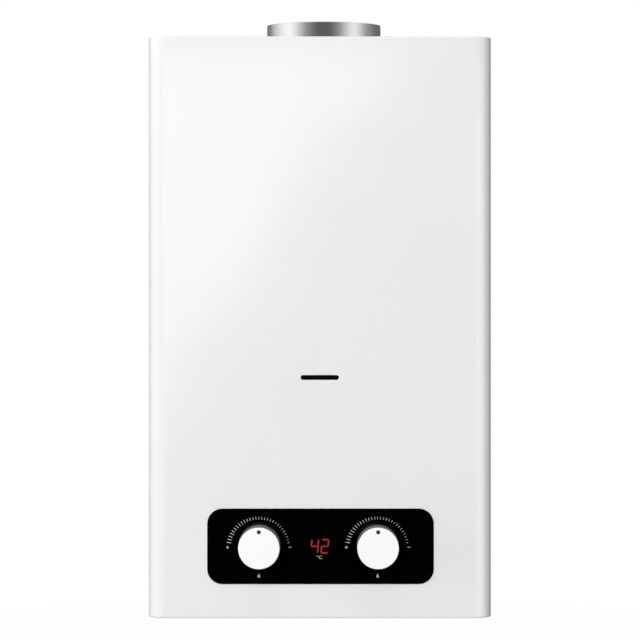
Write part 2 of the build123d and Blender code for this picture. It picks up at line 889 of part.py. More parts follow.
# ---- Burner ----
def burner_frame():
    frame = engine_tube((burner_base, shell_base))
    x = (shell_x[0] + engine_sheet, shell_x[1] - engine_sheet)
    open_z = (burner_base - cut_past, burner_base + burner_front_open)
    frame -= block(x, (shell_y[0] - cut_past, engine_y), open_z)
    rail_z = (burner_base, blade_base)
    back = shell_y[1] - engine_sheet
    frame += block(x, (back - burner_rail, back), rail_z)
    front = shell_y[0] + engine_sheet
    frame += block(x, (front, front + burner_rail), rail_z)
    window_x = around(engine_x, electrode_plate_width - 2 * electrode_plate_border)
    window_z = around(electrode_height, electrode_plate_tall - 2 * electrode_plate_border)
    return frame - block(window_x, (shell_y[0] - cut_past, front + cut_past), window_z)


# A pressed blade: a wide foot that mixes gas and air, a thin waist and a flame head.
def burner_blade():
    foot = blade_foot / 2
    waist = blade_waist / 2
    head = blade_head / 2
    rise = blade_rise
    half = [
        (foot / 2, 0),
        (foot, blade_foot_taper),
        (foot, blade_foot_height),
        (waist, blade_waist_base),
        (waist, rise - blade_waist_drop),
        (head, rise - blade_head_drop),
        (head, rise - blade_head_cut),
        (head - blade_head_cut, rise),
    ]
    outline = half + [(-x, z) for x, z in reversed(half)]
    wire = Polyline(*[(x, blade_y[0], blade_base + z) for x, z in outline], close=True)
    blade = extrude(make_face(wire), blade_y[1] - blade_y[0], dir=(0, 1, 0))
    mouth_z = burner_base + mouth_rise
    seat = Plane(origin=(0, blade_y[0], mouth_z), x_dir=(1, 0, 0), z_dir=(0, 1, 0))
    return blade - extrude(seat * RegularPolygon(mouth_radius, 8), mouth_depth)


def blade_places():
    return [engine_x + (index - (blade_count - 1) / 2) * blade_pitch for index in range(blade_count)]


def burner_blades():
    blade = burner_blade()
    return Compound(children=[Pos(x, 0, 0) * blade for x in blade_places()])


def gas_manifold():
    z = (manifold_base, manifold_base + manifold_height)
    bar = block(shell_x, manifold_y, z)
    for side in (-1, 1):
        wall = shell_x[0] if side < 0 else shell_x[1]
        lug_x = sorted((wall, wall + side * manifold_lug))
        bar += block(lug_x, (manifold_y[0] + manifold_lug_border, manifold_y[1] + manifold_lug_reach), z)
    middle = manifold_base + manifold_height / 2
    return bar + straight_tube((gas_x, riser_y, gas_valve_top), (gas_x, riser_y, middle), riser_radius)


def gas_injectors():
    nozzles = []
    z = burner_base + mouth_rise
    base = manifold_y[1]
    for x in blade_places():
        middle = base + injector_length
        nozzles.append(hexagon((x, base, z), (x, middle, z), injector_radius))
    return Compound(children=nozzles)


def electrode_places():
    return [engine_x - electrode_spread, engine_x + electrode_spread]


def electrode_bracket():
    y = (shell_y[0] - bracket_sheet, shell_y[0])
    plate_z = around(electrode_height, electrode_plate_tall)
    plate = block(around(engine_x, electrode_plate_width), y, plate_z)
    for x in electrode_places():
        start = (x, y[0] - cut_past, electrode_height)
        plate -= eight_sided(start, (x, y[1] + cut_past, electrode_height), electrode_radius + running_gap)
    return plate


def ignition_electrodes():
    pair = []
    for x in electrode_places():
        back = shell_y[0] + needle_reach / 2
        front = back - electrode_length
        ceramic = eight_sided((x, front, electrode_height), (x, back, electrode_height), electrode_radius)
        tip = back + needle_reach
        needle = eight_sided((x, back, electrode_height), (x, tip, electrode_height), needle_radius)
        pair.append(ceramic + needle)
    return Compound(children=pair)


# ---- Pipe stubs ----
# Half-inch unions: outside thread below, hexagon under the floor panel, neck up to the valve.
def pipe_stubs():
    stubs = []
    for x, y in stub_places():
        shoulder = (x, y, floor_height - stub_hex_height)
        body = rod((x, y, stub_end), shoulder, stub_radius)
        body += hexagon(shoulder, (x, y, floor_height), stub_hex_radius)
        body += eight_sided((x, y, floor_height), (x, y, stub_top), stub_radius - stub_neck_step)
        stubs.append(body - eight_sided((x, y, stub_end), (x, y, stub_top), stub_bore_radius))
    return Compound(children=stubs)


def pipe_seals():
    rings = []
    for x, y in stub_places():
        ring = eight_sided((x, y, stub_top), (x, y, valve_base), stub_radius - seal_step)
        rings.append(ring - eight_sided((x, y, stub_top), (x, y, valve_base), seal_bore_radius))
    return Compound(children=rings)


# A strainer inside the cold water stub.
def inlet_filter():
    seat = Plane(origin=(cold_x, pipe_y, stub_top), z_dir=(0, 0, -1))
    mesh = seat * RegularPolygon(stub_bore_radius - running_gap, 8)
    return extrude(mesh, filter_length)


def hot_pipe():
    high = pass_height - elbow_size / 2
    return straight_tube((hot_x, pipe_y, valve_base), (hot_x, pipe_y, high), pipe_radius)


def cold_pipe():
    low = outlet_height + outlet_size / 2
    high = coil_level - elbow_size / 2
    return straight_tube((coil_x[1], outlet_y, low), (coil_x[1], outlet_y, high), coil_radius)


# ---- Gas valve ----
def gas_valve_body():
    z = (valve_base, gas_valve_top)
    body = block(gas_valve_x, (valve_front_flush, valve_back), z)
    body = chamfer(body.edges().filter_by(Axis.Z), valve_corner)
    front = (gas_x, valve_front, dial_height)
    body += eight_sided(front, (gas_x, valve_front_flush, dial_height), valve_boss_radius)
    bore_end = (gas_x, valve_front + spindle_seat, dial_height)
    body -= eight_sided(front, bore_end, spindle_radius + running_gap)
    room = (poppet_x - poppet_thick - rod_travel - poppet_room, poppet_x + poppet_room)
    room_end = (room[1], rod_y, rod_height)
    body -= eight_sided((room[0], rod_y, rod_height), room_end, poppet_radius + poppet_room)
    guide = (gas_valve_x[1] + cut_past, rod_y, rod_height)
    return body - eight_sided((room[1] - cut_overlap, rod_y, rod_height), guide, rod_radius + running_gap)


def solenoid_valve():
    z = (gas_valve_top, gas_valve_top + solenoid_height)
    coil = block(around(gas_x, solenoid_side), around(solenoid_y, solenoid_side), z)
    coil = chamfer(coil.edges().filter_by(Axis.Z), solenoid_cut)
    side = solenoid_side + 2 * solenoid_border
    return coil + block(around(gas_x, side), around(solenoid_y, side), (z[0], z[0] + solenoid_base))


# ---- Water valve and linkage ----
def water_valve_body():
    z = (valve_base, valve_base + water_valve_height)
    body = block((water_valve_left, water_valve_right), (water_valve_front, valve_back), z)
    body = chamfer(body.edges().filter_by(Axis.Z), valve_corner)
    flange_x = (diaphragm_x, diaphragm_x + flange_body_thick)
    body += side_slab(flange_x, rod_y, rod_height, flange_side, flange_cut)
    arm_x = (water_valve_right, coil_x[1] + outlet_size / 2)
    body += block(arm_x, around(outlet_y, outlet_size), around(outlet_height, outlet_size))
    chamber_x = (diaphragm_x, diaphragm_x + chamber_body_depth)
    body -= side_slab(chamber_x, rod_y, rod_height, chamber_side, chamber_cut)
    front = (water_x, water_valve_front, dial_height)
    bore_end = (water_x, water_valve_front + spindle_seat, dial_height)
    body -= eight_sided(front, bore_end, spindle_radius + running_gap)
    drain = (drain_x, drain_y, valve_base + drain_seat)
    return body - eight_sided((drain_x, drain_y, valve_base), drain, drain_stem_radius + running_gap)


def diaphragm():
    return side_slab((cover_x, diaphragm_x), rod_y, rod_height, flange_side, flange_cut)


def diaphragm_cover():
    outer = (cover_x - flange_cover_thick, cover_x)
    cover = side_slab(outer, rod_y, rod_height, flange_side, flange_cut)
    gland = (outer[0] - gland_length, rod_y, rod_height)
    cover += eight_sided(gland, (outer[0], rod_y, rod_height), gland_radius)
    cover -= side_slab((cover_x - chamber_depth, cover_x), rod_y, rod_height, chamber_side, chamber_cut)
    guide = (cover_x - chamber_depth + cut_overlap, rod_y, rod_height)
    return cover - eight_sided(gland, guide, rod_radius + running_gap)


# The rod with the plate that the diaphragm pushes and the collar that trips the switch.
def linkage_rod():
    plate = (plate_x - plate_thick, rod_y, rod_height)
    stem = eight_sided((poppet_x, rod_y, rod_height), plate, rod_radius)
    stem += eight_sided(plate, (plate_x, rod_y, rod_height), plate_radius)
    collar_x = around(sum(switch_x()) / 2, rod_collar_length)
    start = (collar_x[0], rod_y, rod_height)
    return stem + eight_sided(start, (collar_x[1], rod_y, rod_height), rod_collar_radius)


def gas_poppet():
    start = (poppet_x - poppet_thick, rod_y, rod_height)
    return eight_sided(start, (poppet_x, rod_y, rod_height), poppet_radius)


def switch_x():
    gland_end = cover_x - flange_cover_thick - gland_length
    return around((gland_end + gas_valve_x[1]) / 2, switch_length)


def switch_base():
    return rod_height + rod_collar_radius + switch_above_rod


def microswitch():
    body = block(switch_x(), around(rod_y, switch_depth), (switch_base(), switch_base() + switch_tall))
    left = switch_x()[0] + switch_lever_offset
    lever_z = (switch_base() - switch_lever_drop, switch_base())
    lever_y = around(rod_y, switch_depth - 2 * switch_lever_border)
    return body + block((left, left + switch_lever_width), lever_y, lever_z)


# A strap from the diaphragm cover's face, bent flat over the switch.
def switch_bracket():
    right = cover_x - flange_cover_thick
    y = around(rod_y, switch_depth + 2 * switch_bracket_border)
    z = (switch_base() + switch_tall, switch_base() + switch_tall + switch_bracket_sheet)
    strap = block((switch_x()[0], right), y, z)
    drop = (rod_height + gland_radius * flat_to_corner + sheet_gap, z[0])
    return strap + block((right - switch_bracket_sheet, right), y, drop)


def drain_cock():
    head = (drain_low, drain_low + drain_head_height)
    cock = eight_sided((drain_x, drain_y, head[0]), (drain_x, drain_y, head[1]), drain_head_radius)
    top = valve_base + drain_seat - 2 * running_gap
    cock += rod((drain_x, drain_y, head[1]), (drain_x, drain_y, top), drain_stem_radius)
    lever_y = (drain_y, drain_y + drain_lever_length)
    return cock + block(around(drain_x, drain_lever_thick), lever_y, head)


# ---- Controller and batteries ----
def controller_box():
    z = (floor_top, floor_top + controller_height)
    box = floor_slab(controller_x, controller_y, z, controller_corner)
    border = controller_lid_border
    x = (controller_x[0] - border, controller_x[1] + border)
    y = (controller_y[0] - border, controller_y[1] + border)
    return box + block(x, y, (z[1], z[1] + controller_lid))


def battery_box():
    z = (floor_top, battery_top)
    outer = block(around(battery_x, 2 * battery_half_x), around(battery_y, 2 * battery_half_y), z)
    inner_x = around(battery_x, 2 * (battery_half_x - battery_wall))
    inner_y = around(battery_y, 2 * (battery_half_y - battery_wall))
    return outer - block(inner_x, inner_y, (z[0], z[1] - battery_wall))


def cell_places():
    return [(battery_x - cell_spread, 1), (battery_x + cell_spread, -1)]


def battery_cells():
    cells = []
    for x, way in cell_places():
        base = cell_base if way > 0 else cell_base + cell_nub_height
        top = (x, battery_y, base + cell_length)
        can = flat_sided((x, battery_y, base), top, cell_radius, cell_flat_count)
        nub = (base + cell_length, base + cell_length + cell_nub_height) if way > 0 else (cell_base, base)
        cells.append(can + eight_sided((x, battery_y, nub[0]), (x, battery_y, nub[1]), cell_nub_radius))
    return Compound(children=cells)


def battery_contacts():
    ceiling = battery_top - battery_wall
    plates = []
    z = (ceiling - contact_thick, ceiling)
    for x, _ in cell_places():
        plates.append(block(around(x, cell_radius), around(battery_y, cell_radius), z))
    return Compound(children=plates)


def battery_lid():
    x = around(battery_x, 2 * battery_half_x)
    y = (battery_y - battery_half_y, lid_rear)
    lid = block(x, y, (lid_top - lid_thick, lid_top))
    barrel_x = around(battery_x, hinge_length)
    lid += rod((barrel_x[0], hinge_y, hinge_z), (barrel_x[1], hinge_y, hinge_z), hinge_radius)
    lid += block(barrel_x, (lid_rear, hinge_y), (hinge_z - hinge_radius, hinge_z))
    ear_sweep = hinge_radius / cos(pi / 4) + sheet_gap
    notch_z = (lid_top - 2 * hinge_radius - cut_past, lid_top + cut_past)
    for middle in ear_places():
        notch_x = around(middle, hinge_ear + 2 * sheet_gap)
        lid -= block(notch_x, (hinge_y - ear_sweep, hinge_y), notch_z)
    start = (barrel_x[0] - cut_past, hinge_y, hinge_z)
    return lid - eight_sided(start, (barrel_x[1] + cut_past, hinge_y, hinge_z), pin_radius + running_gap)


def lid_contact():
    x = around(battery_x, 2 * battery_half_x - 4 * battery_wall)
    return block(x, around(battery_y, cell_radius), (lid_top, lid_top + lid_contact_thick))


def lid_pin():
    half = hinge_length / 2 + sheet_gap
    return rod((battery_x - half, hinge_y, hinge_z), (battery_x + half, hinge_y, hinge_z), pin_radius)


parts = {
    "front_cover": front_cover(),
    "back_plate": back_plate(),
    "top_panel": top_panel(),
    "bottom_panel": bottom_panel(),
    "cover_screws": cover_screws(),
    "engine_brackets": engine_brackets(),
    "view_window": view_window(),
    "window_frame": window_frame(),
    "control_panel": control_panel(),
    "panel_carrier": panel_carrier(),
    "display_board": display_board(),
    "display_module": display_module(),
    "gas_knob": knob(gas_x),
    "gas_knob_cap": knob_cap(gas_x),
    "gas_spindle": spindle(gas_x, valve_front),
    "water_knob": knob(water_x),
    "water_knob_cap": knob_cap(water_x),
    "water_spindle": spindle(water_x, water_valve_front),
    "flue_collar": flue_collar(),
    "draught_hood": draught_hood(),
    "hood_baffle": hood_baffle(),
    "exchanger_shell": exchanger_shell(),
    "exchanger_fins": exchanger_fins(),
    "exchanger_tubes": exchanger_tubes(),
    "wrap_coil": wrap_coil(),
    "coil_riser": coil_riser(),
    "pipe_elbows": pipe_elbows(),
    "return_caps": return_caps(),
    "thermal_switches": thermal_switches(),
    "burner_frame": burner_frame(),
    "burner_blades": burner_blades(),
    "gas_manifold": gas_manifold(),
    "gas_injectors": gas_injectors(),
    "electrode_bracket": electrode_bracket(),
    "ignition_electrodes": ignition_electrodes(),
    "pipe_stubs": pipe_stubs(),
    "pipe_seals": pipe_seals(),
    "inlet_filter": inlet_filter(),
    "hot_pipe": hot_pipe(),
    "cold_pipe": cold_pipe(),
    "gas_valve_body": gas_valve_body(),
    "solenoid_valve": solenoid_valve(),
    "water_valve_body": water_valve_body(),
    "diaphragm": diaphragm(),
    "diaphragm_cover": diaphragm_cover(),
    "linkage_rod": linkage_rod(),
    "gas_poppet": gas_poppet(),
    "microswitch": microswitch(),
    "switch_bracket": switch_bracket(),
    "drain_cock": drain_cock(),
    "controller_box": controller_box(),
    "battery_box": battery_box(),
    "battery_contacts": battery_contacts(),
    "battery_cells": battery_cells(),
    "battery_lid": battery_lid(),
    "lid_contact": lid_contact(),
    "lid_pin": lid_pin(),
}

os.makedirs("parts", exist_ok=True)
for name, shape in parts.items():
    export_step(shape, f"parts/{name}.step")
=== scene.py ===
# Looks, light and camera for a wall-hung gas water heater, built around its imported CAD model.
# Metres; X to the right, the front faces -Y, Z up; the origin is on the wall face under the case.
import json
import math

import bmesh
import bpy
import numpy as np
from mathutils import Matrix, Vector

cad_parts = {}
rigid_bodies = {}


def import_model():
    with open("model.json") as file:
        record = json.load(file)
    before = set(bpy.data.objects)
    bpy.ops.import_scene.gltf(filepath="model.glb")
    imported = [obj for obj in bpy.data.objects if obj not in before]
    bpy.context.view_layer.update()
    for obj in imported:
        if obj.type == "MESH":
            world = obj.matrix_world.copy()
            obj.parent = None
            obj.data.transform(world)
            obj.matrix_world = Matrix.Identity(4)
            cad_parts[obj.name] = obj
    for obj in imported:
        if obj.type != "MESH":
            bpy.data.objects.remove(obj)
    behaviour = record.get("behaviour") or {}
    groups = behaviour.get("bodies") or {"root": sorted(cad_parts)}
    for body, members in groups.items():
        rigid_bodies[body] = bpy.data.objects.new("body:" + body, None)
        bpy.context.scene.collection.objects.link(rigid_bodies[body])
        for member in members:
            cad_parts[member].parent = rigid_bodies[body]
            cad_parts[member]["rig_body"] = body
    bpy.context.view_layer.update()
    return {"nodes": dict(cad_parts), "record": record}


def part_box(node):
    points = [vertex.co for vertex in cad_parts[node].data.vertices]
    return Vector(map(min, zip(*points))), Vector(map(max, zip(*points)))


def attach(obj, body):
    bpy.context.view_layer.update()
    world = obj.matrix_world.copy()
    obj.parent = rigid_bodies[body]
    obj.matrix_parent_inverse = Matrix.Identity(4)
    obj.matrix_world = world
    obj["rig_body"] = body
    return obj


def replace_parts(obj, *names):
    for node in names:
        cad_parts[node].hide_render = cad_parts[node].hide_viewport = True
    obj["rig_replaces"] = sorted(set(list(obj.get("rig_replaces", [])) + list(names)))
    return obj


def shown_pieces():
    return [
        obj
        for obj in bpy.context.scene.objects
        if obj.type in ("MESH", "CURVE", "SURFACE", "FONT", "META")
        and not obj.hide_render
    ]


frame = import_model()
nodes = frame["nodes"]
print("frame loaded:", len(nodes), "nodes")


# A new object in the scene that holds given data.
def placed(name, data):
    made = bpy.data.objects.new(name, data)
    bpy.context.scene.collection.objects.link(made)
    return made


# The camera stands square to the case's front, level with its upper half.
camera = {"distance": 2.80, "focus": 2918.0, "picture": 640.0, "axisRow": 275.0, "height": 0.3294,
          "across": 0.0002, "sensor": 36.0, "far": 60.0}
caseLow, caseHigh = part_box("front_cover")
lensData = bpy.data.cameras.new("camera")
lensData.sensor_width = camera["sensor"]
lensData.lens = camera["focus"] / camera["picture"] * lensData.sensor_width
lensData.shift_y = (camera["axisRow"] - camera["picture"] / 2) / camera["picture"]
lensData.clip_end = camera["far"]
cameraObject = placed("camera", lensData)
cameraObject.location = (camera["across"], caseLow.y - camera["distance"], camera["height"])
cameraObject.rotation_euler = (math.pi / 2, 0.0, 0.0)
bpy.context.scene.camera = cameraObject
bpy.context.scene.view_settings.view_transform = "Standard"
print("camera placed")


# Shader maths.
# A number that varies over a surface. Plain arithmetic on it adds Math nodes.
class Value:
    def __init__(self, finish, socket):
        self.finish = finish
        self.socket = socket

    def maths(self, operation, other, swap=False, clamp=False):
        settings = {"operation": operation, "use_clamp": clamp}
        inputs = {0: other, 1: self} if swap else {0: self, 1: other}
        node = self.finish.node("ShaderNodeMath", settings, inputs)
        return Value(self.finish, node.outputs[0])

    def __add__(self, other):
        return self.maths("ADD", other)

    def __sub__(self, other):
        return self.maths("SUBTRACT", other)

    def __rsub__(self, other):
        return self.maths("SUBTRACT", other, swap=True)

    def __mul__(self, other):
        return self.maths("MULTIPLY", other)

    __radd__ = __add__
    __rmul__ = __mul__

    def clamped(self):
        return self.maths("ADD", 0.0, clamp=True)

    def step(self, low, high):
        settings = {"interpolation_type": "SMOOTHSTEP"}
        inputs = {"Value": self, "From Min": low, "From Max": high}
        node = self.finish.node("ShaderNodeMapRange", settings, inputs)
        return Value(self.finish, node.outputs["Result"])


# A material or world under construction: node() adds any node, the others are its common uses.
class Finish:
    def __init__(self, owner):
        owner.use_nodes = True
        self.owner = owner
        self.tree = owner.node_tree
        self.tree.nodes.clear()

    def node(self, kind, settings=None, inputs=None):
        made = self.tree.nodes.new(kind)
        for key, value in (settings or {}).items():
            setattr(made, key, value)
        for key, value in (inputs or {}).items():
            socket = made.inputs[key]
            if isinstance(value, Value):
                value = value.socket
            if isinstance(value, bpy.types.NodeSocket):
                self.tree.links.new(value, socket)
            else:
                socket.default_value = value
        return made

    def point(self):
        return self.node("ShaderNodeTexCoord").outputs["Object"]

    def place(self, scale):
        inputs = {"Vector": self.point(), "Scale": scale}
        return self.node("ShaderNodeMapping", None, inputs).outputs["Vector"]

    def heightUp(self):
        parts = self.node("ShaderNodeSeparateXYZ", None, {"Vector": self.point()})
        return Value(self, parts.outputs["Z"])

    def noise(self, scale, detail=2.0, rough=0.5, stretch=(1, 1, 1)):
        inputs = {"Vector": self.place(stretch), "Scale": scale, "Detail": detail, "Roughness": rough}
        return Value(self, self.node("ShaderNodeTexNoise", None, inputs).outputs["Fac"])

    def cells(self, scale, output="Distance", stretch=(1, 1, 1)):
        made = self.node("ShaderNodeTexVoronoi", None, {"Vector": self.place(stretch), "Scale": scale})
        return Value(self, made.outputs[output])

    def mix(self, factor, first, second):
        inputs = {0: factor, 6: first, 7: second}
        return self.node("ShaderNodeMix", {"data_type": "RGBA"}, inputs).outputs[2]

    def bump(self, height, distance):
        inputs = {"Height": height, "Distance": distance, "Strength": 1.0}
        return self.node("ShaderNodeBump", None, inputs).outputs["Normal"]

    def surface(self, tone, rough, relief=None, **sockets):
        names = {"coatWeight": "Coat Weight", "emission": "Emission Color", "ior": "IOR",
                 "emissionStrength": "Emission Strength", "specular": "Specular IOR Level"}
        inputs = {"Base Color": tone, "Roughness": rough}
        if relief is not None:
            inputs["Normal"] = relief
        for key, value in sockets.items():
            inputs[names.get(key, key.capitalize())] = value
        shader = self.node("ShaderNodeBsdfPrincipled", None, inputs)
        self.node("ShaderNodeOutputMaterial", None, {"Surface": shader.outputs["BSDF"]})
        return self.owner


def newFinish(name):
    return Finish(bpy.data.materials.new(name))


def rgb(red, green, blue):
    return (red, green, blue, 1.0)


def grey(level):
    return rgb(level, level, level)


# Materials.
# Baked white enamel: a faint orange peel, broad unevenness in its gloss, a few specks of dust.
def whiteEnamel():
    look = {"colour": grey(0.845), "shade": rgb(0.83, 0.831, 0.832), "dust": rgb(0.62, 0.62, 0.6),
            "peelSize": 520.0, "peelDepth": 0.000012}
    f = newFinish("whiteEnamel")
    cloud = f.noise(9.0, 3.0)
    speck = f.cells(420.0).step(0.05, 0.02) * f.noise(35.0).step(0.62, 0.7)
    tone = f.mix(cloud.step(0.3, 0.7), look["colour"], look["shade"])
    tone = f.mix(speck * 0.25, tone, look["dust"])
    peel = f.noise(look["peelSize"], 2.0) + f.noise(look["peelSize"] / 4, 1.0) * 0.8
    rough = f.noise(60.0, 3.0) * 0.05 + speck * 0.2 + 0.1
    return f.surface(tone, rough, f.bump(peel, look["peelDepth"]), ior=1.5)


# Galvanised sheet: zinc crystals of differing tone, rolled streaks and dull blotches.
def galvanisedSheet():
    look = {"light": rgb(0.66, 0.68, 0.7), "dark": rgb(0.44, 0.46, 0.49), "crystals": 75.0}
    f = newFinish("galvanisedSheet")
    crystal = f.cells(look["crystals"], output="Color")
    streak = f.noise(30.0, 4.0, 0.6, (1, 1, 9))
    blotch = f.noise(14.0, 3.0)
    tone = f.mix((crystal * 0.6 + streak * 0.4).clamped(), look["dark"], look["light"])
    tone = f.mix(blotch.step(0.55, 0.75) * 0.35, tone, rgb(0.55, 0.56, 0.56))
    rough = crystal * 0.14 + blotch * 0.2 + 0.28
    relief = f.bump(crystal * 0.5 + f.noise(900.0) * 0.5, 0.00002)
    return f.surface(tone, rough, relief, metallic=0.92)


# Bright stainless sheet: very fine brushing along its length and a little handling haze.
def stainlessSheet(name="stainlessSheet", stretch=(0.35, 0.35, 40), base=0.02):
    look = {"light": rgb(0.78, 0.775, 0.765), "dark": rgb(0.66, 0.66, 0.655)}
    f = newFinish(name)
    hair = f.noise(38.0, 4.0, 0.7, stretch)
    haze = f.noise(22.0, 3.0)
    tone = f.mix(hair, look["dark"], look["light"])
    rough = hair * 0.03 + haze.step(0.5, 0.8) * 0.03 + base
    return f.surface(tone, rough, f.bump(hair, 0.000004), metallic=1.0)


# High-gloss black acrylic: nearly a mirror, with dust and hair-fine wiping marks.
def blackFascia():
    f = newFinish("blackFascia")
    dust = f.cells(650.0).step(0.07, 0.03) * f.noise(60.0).step(0.55, 0.65)
    wipe = f.noise(50.0, 4.0, 0.7, (1, 1, 14))
    tone = f.mix(dust * 0.5, grey(0.0004), grey(0.02))
    rough = wipe * 0.02 + dust * 0.2 + 0.025
    return f.surface(tone, rough, f.bump(wipe, 0.000001), specular=0.2)


# A moulded plastic: fine spark-eroded grain, slight flow lines and scuffed high spots.
def mouldedPlastic(name, colour, scuff, grain=900.0, depth=0.00003, base=0.45, coat=0.0):
    f = newFinish(name)
    flow = f.noise(18.0, 3.0, 0.5, (1, 1, 3))
    pit = f.noise(grain, 3.0, 0.6)
    mark = f.noise(70.0, 5.0, 0.7).step(0.6, 0.8)
    tone = f.mix(flow * 0.35, colour, scuff)
    tone = f.mix(mark * 0.3, tone, scuff)
    rough = pit * 0.12 + mark * 0.12 + base
    return f.surface(tone, rough, f.bump(pit, depth), coatWeight=coat)


# A cast or machined metal: grainy skin, turned or milled lines, stain and polish in patches.
def workedMetal(name, light, dark, stain, lines=(1, 1, 1), grain=700.0, depth=0.00003, base=0.3):
    f = newFinish(name)
    skin = f.noise(grain, 3.0, 0.65)
    cut = f.noise(120.0, 3.0, 0.6, lines)
    patch = f.noise(28.0, 5.0, 0.6)
    tone = f.mix((skin * 0.5 + cut * 0.5).clamped(), dark, light)
    tone = f.mix(patch.step(0.52, 0.75) * 0.6, tone, stain)
    rough = skin * 0.12 + patch * 0.16 + base
    return f.surface(tone, rough, f.bump(skin + cut * 0.5, depth), metallic=1.0)


# Copper that has been dipped in tin and heated: silver over, copper and straw where it wore or ran.
def dippedCopper():
    f = newFinish("dippedCopper")
    worn = f.noise(16.0, 5.0, 0.6)
    heat = f.noise(7.0, 3.0)
    run = f.noise(70.0, 3.0, 0.5, (1, 1, 0.25))
    tone = f.mix(worn.step(0.42, 0.62), rgb(0.74, 0.40, 0.27), rgb(0.62, 0.57, 0.52))
    tone = f.mix(heat.step(0.45, 0.7) * 0.5, tone, rgb(0.36, 0.20, 0.16))
    tone = f.mix(run.step(0.62, 0.7) * 0.4, tone, rgb(0.86, 0.66, 0.42))
    rough = worn * 0.2 + heat * 0.15 + 0.18
    return f.surface(tone, rough, f.bump(run + f.noise(500.0), 0.00002), metallic=1.0)


# Smoked heat-proof glass with a film of soot and dust.
def smokedGlass():
    f = newFinish("smokedGlass")
    film = f.noise(90.0, 4.0, 0.6)
    tone = f.mix(film.step(0.5, 0.8) * 0.5, grey(0.0015), grey(0.004))
    return f.surface(tone, film * 0.12 + 0.05, f.bump(film, 0.000003), ior=1.5)


# Solder mask: patches of two greens drawn out along the board, with bright pads on some of them.
def circuitBoard():
    f = newFinish("circuitBoard")
    lane = f.cells(160.0, "Color", (1, 1, 2.4))
    weave = f.noise(1500.0, 2.0)
    pad = f.cells(330.0).step(0.12, 0.08) * lane.step(0.6, 0.7)
    tone = f.mix(lane.step(0.35, 0.55), rgb(0.012, 0.11, 0.045), rgb(0.02, 0.19, 0.08))
    tone = f.mix(pad, tone, rgb(0.72, 0.7, 0.62))
    relief = f.bump(lane.step(0.35, 0.55) + pad * 0.6 + weave * 0.1, 0.00004)
    return f.surface(tone, weave * 0.1 + 0.25, relief, metallic=pad * 0.9)


# Glazed ceramic of the flame electrodes: off-white with patches of soot.
def glazedCeramic():
    f = newFinish("glazedCeramic")
    soot = f.noise(110.0, 4.0, 0.7)
    tone = f.mix(soot.step(0.5, 0.75) * 0.6, rgb(0.82, 0.8, 0.75), rgb(0.35, 0.31, 0.27))
    return f.surface(tone, soot * 0.2 + 0.15, f.bump(soot, 0.00002))


# The cells' plain printed sleeve: dark body, bright ends, fine streaks.
def cellSleeve():
    f = newFinish("cellSleeve")
    ends = {"top": (0.0700, 0.0704), "foot": (0.0300, 0.0296)}
    height = f.heightUp()
    band = height.step(*ends["top"]) + height.step(*ends["foot"])
    wrap = f.noise(260.0, 3.0, 0.6, (1, 1, 0.2))
    tone = f.mix(band.clamped(), rgb(0.05, 0.06, 0.085), rgb(0.62, 0.6, 0.56))
    tone = f.mix(wrap * 0.3, tone, rgb(0.2, 0.2, 0.21))
    return f.surface(tone, wrap * 0.12 + 0.22, f.bump(wrap, 0.00001), metallic=0.55)


# A printed mark: matt ink with a slightly uneven film. With a strength it also glows, for the lit figures
# and for the painted glow round them.
def printedInk(name, colour, faint, strength=0.0):
    f = newFinish(name)
    film = f.noise(1400.0, 3.0)
    tone = f.mix(film.step(0.35, 0.7) * 0.5, colour, faint)
    glow = f.mix(film.step(0.3, 0.8) * 0.3, colour, faint)
    sockets = {"emission": glow, "emissionStrength": strength} if strength > 0 else {}
    relief = f.bump(film, 0.000004)
    return f.surface(tone, film * 0.1 + 0.5, relief, specular=0.05, **sockets)


